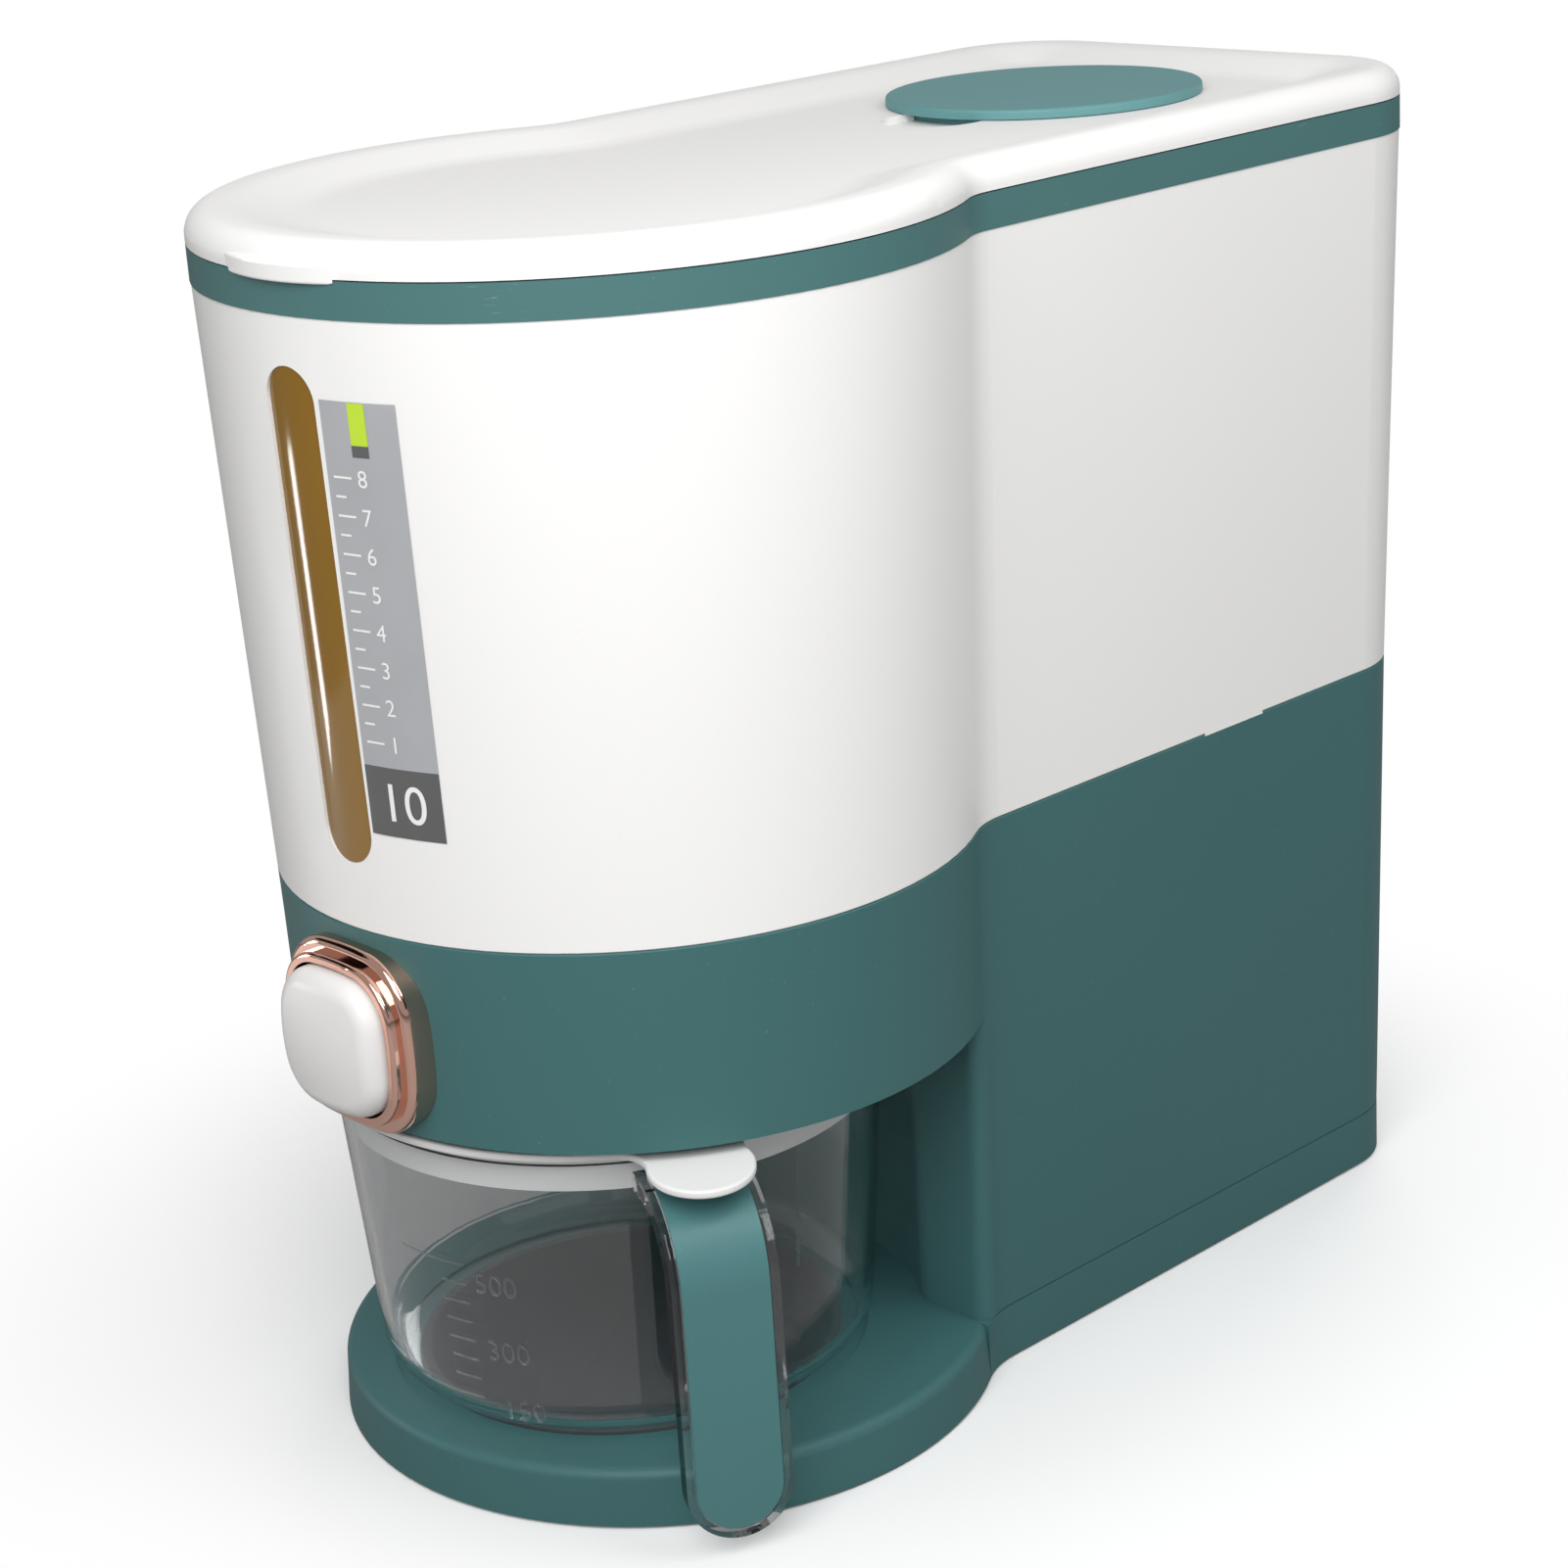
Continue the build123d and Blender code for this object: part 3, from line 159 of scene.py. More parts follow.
def mouldedPlastic(name, look):
    # satin moulding: two close tones, grain bump, grain in the roughness, pale scuffs
    material, tree, shader = startMaterial(name, {"IOR": look["ior"], "Specular IOR Level": look["specular"]})
    link = tree.links.new
    grain = placeGroup(tree, mouldGrain, {
        "Grain Scale": look["grainScale"], "Drift Scale": look["driftScale"]})
    scuff = placeGroup(tree, scuffMarks, {"Stretch": look["scuffStretch"], "Patch Scale": look["scuffPatch"]})
    tone = put(tree, "ShaderNodeMix", {"data_type": "RGBA"})
    tone.inputs["A"].default_value = look["deep"]
    tone.inputs["B"].default_value = look["pale"]
    speck = put(tree, "ShaderNodeMix", {"data_type": "RGBA"})
    speck.inputs["B"].default_value = look["fleckColour"]
    worn = put(tree, "ShaderNodeMix", {"data_type": "RGBA"})
    worn.inputs["B"].default_value = look["scuffColour"]
    fleckShare = put(tree, "ShaderNodeMath", {"operation": "MULTIPLY"}, {1: look["fleckShare"]})
    scuffShare = put(tree, "ShaderNodeMath", {"operation": "MULTIPLY"}, {1: look["scuffShare"]})
    link(grain.outputs["Drift"], tone.inputs["Factor"])
    link(grain.outputs["Fleck"], fleckShare.inputs[0])
    link(scuff.outputs["Scuff"], scuffShare.inputs[0])
    link(tone.outputs["Result"], speck.inputs["A"])
    link(fleckShare.outputs["Value"], speck.inputs["Factor"])
    link(speck.outputs["Result"], worn.inputs["A"])
    link(scuffShare.outputs["Value"], worn.inputs["Factor"])
    link(worn.outputs["Result"], shader.inputs["Base Color"])
    sheen = put(tree, "ShaderNodeMapRange", None, {"To Min": look["roughLow"], "To Max": look["roughHigh"]})
    link(grain.outputs["Grain"], sheen.inputs["Value"])
    link(sheen.outputs["Result"], shader.inputs["Roughness"])
    bump = put(tree, "ShaderNodeBump", None, {"Strength": look["bump"], "Distance": look["bumpDepth"]})
    link(grain.outputs["Grain"], bump.inputs["Height"])
    link(bump.outputs["Normal"], shader.inputs["Normal"])
    return material


# one green plastic in several tones: this darker copy on the base and lower body is painted shade for the
# light falling off towards the bottom
greenShadedLook = {
    "deep": (0.046, 0.136, 0.138, 1), "pale": (0.053, 0.149, 0.151, 1),
    "fleckColour": (0.20, 0.33, 0.32, 1), "fleckShare": 0.25,
    "scuffColour": (0.45, 0.55, 0.54, 1), "scuffShare": 0.0,
    "scuffStretch": (300, 300, 1900), "scuffPatch": 22,
    "grainScale": 1500, "driftScale": 8, "roughLow": 0.40, "roughHigh": 0.58,
    "bump": 0.22, "bumpDepth": 0.00004, "ior": 1.46, "specular": 0.33}
# rim band: the same green made lighter as painted light near the top; its pale scuffs are real wear
bandLitLook = dict(greenShadedLook, deep=(0.062, 0.160, 0.160, 1), pale=(0.070, 0.174, 0.174, 1), scuffShare=0.22,
                scuffStretch=(260, 260, 2100), scuffPatch=26)
# moisture cap: the same green, much lighter and paler, as painted light and sheen on its up-facing top
capLitLook = dict(greenShadedLook, deep=(0.105, 0.258, 0.265, 1), pale=(0.115, 0.278, 0.285, 1))
# grip insert: glossier finish, and a lighter tone of the same green as a painted sheen on its upper bend
insertLitLook = dict(greenShadedLook, deep=(0.058, 0.176, 0.182, 1), pale=(0.066, 0.192, 0.198, 1),
                  roughLow=0.28, roughHigh=0.42, specular=0.60)
whiteLook = {
    "deep": (0.845, 0.838, 0.822, 1), "pale": (0.875, 0.870, 0.856, 1),
    "fleckColour": (0.70, 0.69, 0.67, 1), "fleckShare": 0.20,
    "scuffColour": (0.62, 0.61, 0.59, 1), "scuffShare": 0.06,
    "scuffStretch": (700, 90, 1500), "scuffPatch": 14,
    "grainScale": 1300, "driftScale": 6, "roughLow": 0.34, "roughHigh": 0.50,
    "bump": 0.16, "bumpDepth": 0.00004, "ior": 1.46, "specular": 0.45}
buttonLook = dict(whiteLook, deep=(0.750, 0.740, 0.730, 1), pale=(0.780, 0.770, 0.760, 1),
                  roughLow=0.30, roughHigh=0.42, bump=0.08, scuffShare=0.03)
ringLook = dict(whiteLook, deep=(0.755, 0.752, 0.742, 1), pale=(0.790, 0.786, 0.776, 1))
mechanismLook = dict(whiteLook, deep=(0.66, 0.66, 0.65, 1), pale=(0.72, 0.72, 0.71, 1), scuffShare=0.2)

# lit and shaded copies of one green: painted light on the band, cap and insert, painted shade on the base and
# lower body
greenShadedPlastic = mouldedPlastic("greenShadedPlastic", greenShadedLook)
bandLitPlastic = mouldedPlastic("bandLitPlastic", bandLitLook)
capLitPlastic = mouldedPlastic("capLitPlastic", capLitLook)
insertLitPlastic = mouldedPlastic("insertLitPlastic", insertLitLook)
whitePlastic = mouldedPlastic("whitePlastic", whiteLook)
buttonPlastic = mouldedPlastic("buttonPlastic", buttonLook)
ringPlastic = mouldedPlastic("ringPlastic", ringLook)
mechanismPlastic = mouldedPlastic("mechanismPlastic", mechanismLook)


def clearPlastic(name, look):
    # clear styrene: faint tint, smears in the roughness, slow moulding ripple
    # lamp light passes through to what is inside
    material, tree, shader = startMaterial(name, {
        "Transmission Weight": 1.0, "IOR": look["ior"], "Metallic": 0.0})
    link = tree.links.new
    grain = placeGroup(tree, mouldGrain, {
        "Grain Scale": look["rippleScale"], "Drift Scale": look["smearScale"]})
    tint = put(tree, "ShaderNodeMix", {"data_type": "RGBA"})
    tint.inputs["A"].default_value = look["tintA"]
    tint.inputs["B"].default_value = look["tintB"]
    smear = put(tree, "ShaderNodeMapRange", None, {
        "From Min": 0.35, "From Max": 0.75, "To Min": look["roughLow"], "To Max": look["roughHigh"]})
    bump = put(tree, "ShaderNodeBump", None, {"Strength": look["bump"], "Distance": look["bumpDepth"]})
    link(grain.outputs["Drift"], tint.inputs["Factor"])
    link(tint.outputs["Result"], shader.inputs["Base Color"])
    link(grain.outputs["Drift"], smear.inputs["Value"])
    link(smear.outputs["Result"], shader.inputs["Roughness"])
    link(grain.outputs["Grain"], bump.inputs["Height"])
    link(bump.outputs["Normal"], shader.inputs["Normal"])
    rays = put(tree, "ShaderNodeLightPath")
    lit = put(tree, "ShaderNodeMath", {"operation": "MAXIMUM"})
    glass = put(tree, "ShaderNodeBsdfTransparent", None, {"Color": look["pass"]})
    mix = put(tree, "ShaderNodeMixShader")
    end = next(n for n in tree.nodes if n.type == "OUTPUT_MATERIAL")
    link(rays.outputs["Is Shadow Ray"], lit.inputs[0])
    link(rays.outputs["Is Diffuse Ray"], lit.inputs[1])
    link(lit.outputs["Value"], mix.inputs["Fac"])
    link(shader.outputs["BSDF"], mix.inputs[1])
    link(glass.outputs["BSDF"], mix.inputs[2])
    link(mix.outputs["Shader"], end.inputs["Surface"])
    return material


cupLook = {"tintA": (0.91, 0.915, 0.92, 1), "tintB": (0.95, 0.955, 0.96, 1), "pass": (0.96, 0.965, 0.97, 1),
           "ior": 1.45,
           "rippleScale": 30, "smearScale": 24, "roughLow": 0.01, "roughHigh": 0.045,
           "bump": 0.10, "bumpDepth": 0.0004}
markLook = dict(cupLook, roughLow=0.14, roughHigh=0.24)
cupPlastic = clearPlastic("cupPlastic", cupLook)
markPlastic = clearPlastic("markPlastic", markLook)


def tonedSurface(name, look, sockets):
    # plain finish: two close tones, a range of roughness and a fine bump, all from the mould skin
    material, tree, shader = startMaterial(name, sockets)
    link = tree.links.new
    grain = placeGroup(tree, mouldGrain, {
        "Grain Scale": look["grainScale"], "Drift Scale": look["driftScale"]})
    tone = put(tree, "ShaderNodeMix", {"data_type": "RGBA"})
    tone.inputs["A"].default_value = look["deep"]
    tone.inputs["B"].default_value = look["pale"]
    sheen = put(tree, "ShaderNodeMapRange", None, {"To Min": look["roughLow"], "To Max": look["roughHigh"]})
    bump = put(tree, "ShaderNodeBump", None, {"Strength": look["bump"], "Distance": look["bumpDepth"]})
    link(grain.outputs["Drift"], tone.inputs["Factor"])
    link(tone.outputs["Result"], shader.inputs["Base Color"])
    link(grain.outputs[look["sheenFrom"]], sheen.inputs["Value"])
    link(sheen.outputs["Result"], shader.inputs["Roughness"])
    link(grain.outputs["Grain"], bump.inputs["Height"])
    link(bump.outputs["Normal"], shader.inputs["Normal"])
    return material


# smoked pane: amber drift, polished skin with a soft ripple
paneLook = {"deep": (0.225, 0.115, 0.012, 1), "pale": (0.265, 0.138, 0.018, 1), "grainScale": 60,
            "driftScale": 16, "roughLow": 0.05, "roughHigh": 0.13, "bump": 0.05, "bumpDepth": 0.0003,
            "sheenFrom": "Drift"}
# plating and bright wire: fine polish lines in the roughness
roseLook = {"deep": (0.80, 0.47, 0.37, 1), "pale": (0.86, 0.53, 0.43, 1), "grainScale": 240,
            "driftScale": 40, "roughLow": 0.03, "roughHigh": 0.10, "bump": 0.04, "bumpDepth": 0.00003,
            "sheenFrom": "Grain"}
steelLook = dict(roseLook, deep=(0.50, 0.50, 0.51, 1), pale=(0.60, 0.60, 0.61, 1), grainScale=900,
                 driftScale=60, roughLow=0.18, roughHigh=0.34, bump=0.10)
# matt rubber: pebbled bump, dusty tone
rubberLook = {"deep": (0.046, 0.053, 0.056, 1), "pale": (0.064, 0.072, 0.075, 1), "grainScale": 1100,
              "driftScale": 30, "roughLow": 0.6, "roughHigh": 0.85, "bump": 0.3, "bumpDepth": 0.0001,
              "sheenFrom": "Grain"}
sealLook = dict(rubberLook, deep=(0.68, 0.68, 0.66, 1), pale=(0.75, 0.75, 0.73, 1), grainScale=1300)
paneSockets = {"IOR": 1.49, "Specular IOR Level": 0.5, "Transmission Weight": 0.0, "Metallic": 0.0}
metalSockets = {"Metallic": 1.0}
rubberSockets = {"IOR": 1.5, "Specular IOR Level": 0.35}

panePlastic = tonedSurface("panePlastic", paneLook, paneSockets)
rosePlating = tonedSurface("rosePlating", roseLook, metalSockets)
brightSteel = tonedSurface("brightSteel", steelLook, metalSockets)
greyRubber = tonedSurface("greyRubber", rubberLook, rubberSockets)
sealRubber = tonedSurface("sealRubber", sealLook, rubberSockets)

# green parts take lighter and darker copies of one green: painted light up high, painted shade low down
dress(["base", "lower_body"], greenShadedPlastic)
dress(["grip_insert"], insertLitPlastic)
dress(["rim_band"], bandLitPlastic)
dress(["moisture_cap"], capLitPlastic)
dress(["hopper", "lid", "desiccant_basket"], whitePlastic)
dress(["cup_lid"], ringPlastic)
dress(["button_cap"], buttonPlastic)
dress(["gate_slide", "gate_housing"], mechanismPlastic)
dress(["cup"], cupPlastic)
dress(["sight_window"], panePlastic)
dress(["button_bezel"], rosePlating)
dress(["hinge_pin", "housing_screws", "base_screws"], brightSteel)
dress(["cup_mat"] + [f"foot_{n}" for n in range(1, 7)], greyRubber)
dress(["lid_seal"], sealRubber)
print("stage 2: finishes on the solids")


def hopperRadius(z):
    return body["rimRadius"] - body["draw"] * (body["rimZ"] - z) / (body["rimZ"] - body["seamZ"])


def cupRadius(z):
    share = (z - cupForm["footZ"]) / cupForm["height"]
    return cupForm["footRadius"] + (cupForm["rimRadius"] - cupForm["footRadius"]) * share


def wrap(mesh, radiusAt, axisY, turn):
    # flat x runs round the wall, flat y stands off it, flat z is the height
    for vertex in mesh.vertices:
        along, off, z = vertex.co
        radius = radiusAt(z) - off
        angle = turn + along / radiusAt(z)
        vertex.co = (radius * math.sin(angle), axisY - radius * math.cos(angle), z)
    mesh.update()


def buildTickRow():
    # ladder of ticks: every so many is a long one
    tree = bpy.data.node_groups.new("tickRow", "GeometryNodeTree")
    face = tree.interface
    face.new_socket("Geometry", in_out="INPUT", socket_type="NodeSocketGeometry")
    for name, kind, value in (("Count", "NodeSocketInt", 9), ("Pitch", "NodeSocketFloat", 0.01),
                              ("Length", "NodeSocketFloat", 0.004), ("Thickness", "NodeSocketFloat", 0.0006),
                              ("Relief", "NodeSocketFloat", 0.0002), ("Long Every", "NodeSocketInt", 2),
                              ("Long Share", "NodeSocketFloat", 1.8)):
        face.new_socket(name, in_out="INPUT", socket_type=kind).default_value = value
    face.new_socket("Material", in_out="INPUT", socket_type="NodeSocketMaterial")
    face.new_socket("Geometry", in_out="OUTPUT", socket_type="NodeSocketGeometry")
    start, end = put(tree, "NodeGroupInput"), put(tree, "NodeGroupOutput")
    step = put(tree, "ShaderNodeCombineXYZ")
    line = put(tree, "GeometryNodeMeshLine", {"mode": "OFFSET"})
    size = put(tree, "ShaderNodeCombineXYZ")
    tick = put(tree, "GeometryNodeMeshCube", None, {"Vertices X": 12})
    half = put(tree, "ShaderNodeMath", {"operation": "MULTIPLY"}, {1: 0.5})
    shift = put(tree, "ShaderNodeCombineXYZ")
    move = put(tree, "GeometryNodeTransform")
    index = put(tree, "GeometryNodeInputIndex")
    turn = put(tree, "ShaderNodeMath", {"operation": "MODULO"})
    isLong = put(tree, "ShaderNodeMath", {"operation": "LESS_THAN"}, {1: 0.5})
    pick = put(tree, "GeometryNodeSwitch", {"input_type": "FLOAT"})
    pick.inputs["False"].default_value = 1.0
    stretch = put(tree, "ShaderNodeCombineXYZ", None, {"Y": 1.0, "Z": 1.0})
    spread = put(tree, "GeometryNodeInstanceOnPoints")
    real = put(tree, "GeometryNodeRealizeInstances")
    paint = put(tree, "GeometryNodeSetMaterial")
    link = tree.links.new
    link(start.outputs["Pitch"], step.inputs["Z"])
    link(start.outputs["Count"], line.inputs["Count"])
    link(step.outputs["Vector"], line.inputs["Offset"])
    link(start.outputs["Length"], size.inputs["X"])
    link(start.outputs["Relief"], size.inputs["Y"])
    link(start.outputs["Thickness"], size.inputs["Z"])
    link(size.outputs["Vector"], tick.inputs["Size"])
    link(start.outputs["Length"], half.inputs[0])
    link(half.outputs["Value"], shift.inputs["X"])
    link(tick.outputs["Mesh"], move.inputs["Geometry"])
    link(shift.outputs["Vector"], move.inputs["Translation"])
    link(index.outputs["Index"], turn.inputs[0])
    link(start.outputs["Long Every"], turn.inputs[1])
    link(turn.outputs["Value"], isLong.inputs[0])
    link(isLong.outputs["Value"], pick.inputs["Switch"])
    link(start.outputs["Long Share"], pick.inputs["True"])
    link(pick.outputs["Output"], stretch.inputs["X"])
    link(line.outputs["Mesh"], spread.inputs["Points"])
    link(move.outputs["Geometry"], spread.inputs["Instance"])
    link(stretch.outputs["Vector"], spread.inputs["Scale"])
    link(spread.outputs["Instances"], real.inputs["Geometry"])
    link(real.outputs["Geometry"], paint.inputs["Geometry"])
    link(start.outputs["Material"], paint.inputs["Material"])
    link(paint.outputs["Geometry"], end.inputs["Geometry"])
    return tree


tickRow = buildTickRow()


def growMesh(name, tree, values):
    # evaluates a tree once and keeps its plain mesh
    holder = bpy.data.objects.new(name + "Holder", bpy.data.meshes.new(name + "Holder"))
    scene.collection.objects.link(holder)
    modifier = holder.modifiers.new("grow", "NODES")
    modifier.node_group = tree
    keys = {item.name: item.identifier for item in tree.interface.items_tree if item.in_out == "INPUT"}
    for label, value in values.items():
        modifier[keys[label]] = value
    bpy.context.view_layer.update()
    mesh = bpy.data.meshes.new_from_object(holder.evaluated_get(bpy.context.evaluated_depsgraph_get()))
    mesh.name = name
    bpy.data.objects.remove(holder)
    return mesh


def numberMesh(words, size, relief, align="LEFT"):
    # digits as a flat or raised mesh: x along, y off the wall, z up
    curve = bpy.data.curves.new("digits", "FONT")
    curve.body = words
    curve.size = size
    curve.extrude = relief
    curve.align_x = align
    curve.resolution_u = 6
    holder = bpy.data.objects.new("digits", curve)
    scene.collection.objects.link(holder)
    bpy.context.view_layer.update()
    mesh = bpy.data.meshes.new_from_object(holder.evaluated_get(bpy.context.evaluated_depsgraph_get()))
    bpy.data.objects.remove(holder)
    mesh.transform(Matrix.Rotation(math.radians(90), 4, "X"))
    return mesh


def joinMeshes(name, meshes):
    joined = bpy.data.meshes.new(name)
    points, faces = [], []
    for mesh in meshes:
        base = len(points)
        points += [tuple(v.co) for v in mesh.vertices]
        faces += [[base + i for i in p.vertices] for p in mesh.polygons]
    joined.from_pydata(points, [], faces)
    joined.update()
    return joined


def wallSheet(name, alongLow, alongHigh, zLow, zHigh, off, columns=12, rows=24):
    # film on the wall: a grid, still flat
    points, faces = [], []
    for row in range(rows + 1):
        z = zLow + (zHigh - zLow) * row / rows
        for column in range(columns + 1):
            points.append((alongLow + (alongHigh - alongLow) * column / columns, -off, z))
    for row in range(rows):
        for column in range(columns):
            first = row * (columns + 1) + column
            faces.append([first, first + 1, first + columns + 2, first + columns + 1])
    mesh = bpy.data.meshes.new(name)
    mesh.from_pydata(points, [], faces)
    mesh.update()
    return mesh


# print on film: slight mottling and a satin skin
inkLook = {"grainScale": 1900, "driftScale": 40, "roughLow": 0.32, "roughHigh": 0.48, "bump": 0.08,
           "bumpDepth": 0.00003, "sheenFrom": "Grain"}
inkSockets = {"IOR": 1.45, "Specular IOR Level": 0.4}
inkTones = {
    "filmGrey": ((0.36, 0.37, 0.39, 1), (0.43, 0.44, 0.455, 1)),
    "filmDark": ((0.095, 0.096, 0.098, 1), (0.125, 0.126, 0.128, 1)),
    "inkWhite": ((0.82, 0.82, 0.81, 1), (0.88, 0.88, 0.87, 1)),
    "inkLime": ((0.47, 0.68, 0.03, 1), (0.54, 0.75, 0.05, 1)),
}
filmGrey, filmDark, inkWhite, inkLime = (
    tonedSurface(name, dict(inkLook, deep=deep, pale=pale), inkSockets)
    for name, (deep, pale) in inkTones.items())

# level strip beside the window
stripLook = {
    "turn": math.radians(15.2), "left": -0.0118, "right": 0.0118, "low": 0.1990, "high": 0.3140,
    "blockTop": 0.2180, "off": 0.00012, "accentHalf": 0.0026, "accentLow": 0.3030, "accentEndLow": 0.3000,
    "accentInset": 0.0002, "tickCount": 15, "tickPitch": 0.0050, "tickLength": 0.0034,
    "tickThickness": 0.0006, "tickRelief": 0.00002, "tickInset": 0.0022, "tickFoot": 0.2245,
    "longEvery": 2, "longShare": 1.7,
    "digits": ("1", "2", "3", "4", "5", "6", "7", "8"), "digitSize": 0.0064, "digitInset": 0.0098,
    "digitDrop": 0.0022, "blockWords": "10", "blockSize": 0.0150, "blockFoot": 0.2034}


def buildLevelStrip():
    look = stripLook
    turn, off, half = look["turn"], look["off"], look["accentHalf"]
    accentTop = look["high"] - look["accentInset"]
    sheets = (("levelStrip", look["left"], look["right"], look["blockTop"], look["high"], off, filmGrey),
              ("levelBlock", look["left"], look["right"], look["low"], look["blockTop"], off, filmDark),
              ("levelAccent", -half, half, look["accentLow"], accentTop, off * 2, inkLime),
              ("levelAccentEnd", -half, half, look["accentEndLow"], look["accentLow"], off * 2, filmDark))
    for name, left, right, low, high, stand, ink in sheets:
        mesh = wallSheet(name, left, right, low, high, stand)
        wrap(mesh, hopperRadius, body["frontY"], turn)
        newPiece(name, mesh, "dispenser", ink)
    ticks = growMesh("levelTicks", tickRow, {
        "Count": look["tickCount"], "Pitch": look["tickPitch"], "Length": look["tickLength"],
        "Thickness": look["tickThickness"], "Relief": look["tickRelief"], "Long Every": look["longEvery"],
        "Long Share": look["longShare"], "Material": inkWhite})
    ticks.transform(Matrix.Translation((look["left"] + look["tickInset"], -off * 2, look["tickFoot"])))
    wrap(ticks, hopperRadius, body["frontY"], turn)
    newPiece("levelTicks", ticks, "dispenser", inkWhite)
    digits = []
    for step, words in enumerate(look["digits"]):
        digit = numberMesh(words, look["digitSize"], 0.0)
        z = look["tickFoot"] + look["longEvery"] * look["tickPitch"] * step - look["digitDrop"]
        digit.transform(Matrix.Translation((look["left"] + look["digitInset"], -off * 2, z)))
        digits.append(digit)
    block = numberMesh(look["blockWords"], look["blockSize"], 0.0, "CENTER")
    block.transform(Matrix.Translation((0.0, -off * 2, look["blockFoot"])))
    digits.append(block)
    numbers = joinMeshes("levelNumbers", digits)
    wrap(numbers, hopperRadius, body["frontY"], turn)
    newPiece("levelNumbers", numbers, "dispenser", inkWhite)


buildLevelStrip()

# raised graduations on the measuring cup: number, turn of its left edge, height of its foot
gradLook = {"relief": 0.00022, "digit": 0.0090, "ladderTurn": math.radians(15), "ladderFoot": 0.0295,
            "tickCount": 8, "tickPitch": 0.0060, "tickLength": 0.0090, "tickThickness": 0.0005,
            "longEvery": 7, "longShare": 2.8,
            "levels": (("500", 16.8, 0.0637), ("300", 17.6, 0.0427), ("150", 19.4, 0.0243))}


def buildCupMarks():
    look = gradLook
    digits = []
    for words, turn, z in look["levels"]:
        digit = numberMesh(words, look["digit"], look["relief"])
        digit.transform(Matrix.Translation((0.0, 0.0, z)))
        wrap(digit, cupRadius, cupForm["axisY"], math.radians(turn))
        digits.append(digit)
    newPiece("cupNumbers", joinMeshes("cupNumbers", digits), "cup", markPlastic)
    ticks = growMesh("cupTicks", tickRow, {
        "Count": look["tickCount"], "Pitch": look["tickPitch"], "Length": look["tickLength"],
        "Thickness": look["tickThickness"], "Relief": look["relief"] * 2, "Long Every": look["longEvery"],
        "Long Share": look["longShare"], "Material": markPlastic})
    ticks.transform(Matrix.Translation((0.0, 0.0, look["ladderFoot"])) @ Matrix.Rotation(math.pi, 4, "Z"))
    wrap(ticks, cupRadius, cupForm["axisY"], look["ladderTurn"])
    newPiece("cupTicks", ticks, "cup", markPlastic)


buildCupMarks()

# return spring: the same coil as its solid, rebuilt as a smooth wire tube
springLook = {"wire": 0.0012, "turns": 7, "stepsPerTurn": 36, "sides": 10, "travel": 0.009}


def buildSpring():
    look = springLook
    low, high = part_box("return_spring")
    half = look["wire"] / 2
    radius = (high[0] - low[0]) / 2 - half
    middleX, middleZ = (low[0] + high[0]) / 2, (low[2] + high[2]) / 2
    startY, length = low[1] + half, high[1] - low[1] - look["wire"]
    count, sides = look["turns"] * look["stepsPerTurn"], look["sides"]
    slope = length / (2 * math.pi * radius * look["turns"])
    points, faces = [], []
    for step in range(count + 1):
        angle = 2 * math.pi * step / look["stepsPerTurn"]
        out = Vector((math.cos(angle), 0, math.sin(angle)))
        across = out.cross(Vector((-math.sin(angle), slope, math.cos(angle))).normalized())
        centre = Vector((middleX, startY + length * step / count, middleZ)) + out * radius
        for side in range(sides):
            turn = 2 * math.pi * side / sides
            points.append(centre + (out * math.cos(turn) + across * math.sin(turn)) * half)
    for step in range(count):
        for side in range(sides):
            first, second = step * sides + side, step * sides + (side + 1) % sides
            faces.append([first, second, second + sides, first + sides])
    faces.append(list(range(sides)))
    faces.append(list(range(count * sides, (count + 1) * sides))[::-1])
    mesh = bpy.data.meshes.new("returnSpring")
    mesh.from_pydata(points, [], faces)
    mesh.polygons.foreach_set("use_smooth", [True] * len(mesh.polygons))
    mesh.update()
    piece = newPiece("returnSpring", mesh, "dispenser", brightSteel)
    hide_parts("return_spring")
    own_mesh(piece)


buildSpring()
print("stage 3: level strip, cup marks and spring")


# studio: pale floor that fades to white, a soft key, two weaker lamps, gloss-only cards
floorLook = {"pale": (0.97, 0.97, 0.97, 1), "dim": (0.40, 0.40, 0.40, 1), "nearRadius": 0.12,
             "farRadius": 0.34, "size": 8.0, "drop": 0.0004, "throughShare": 0.06}


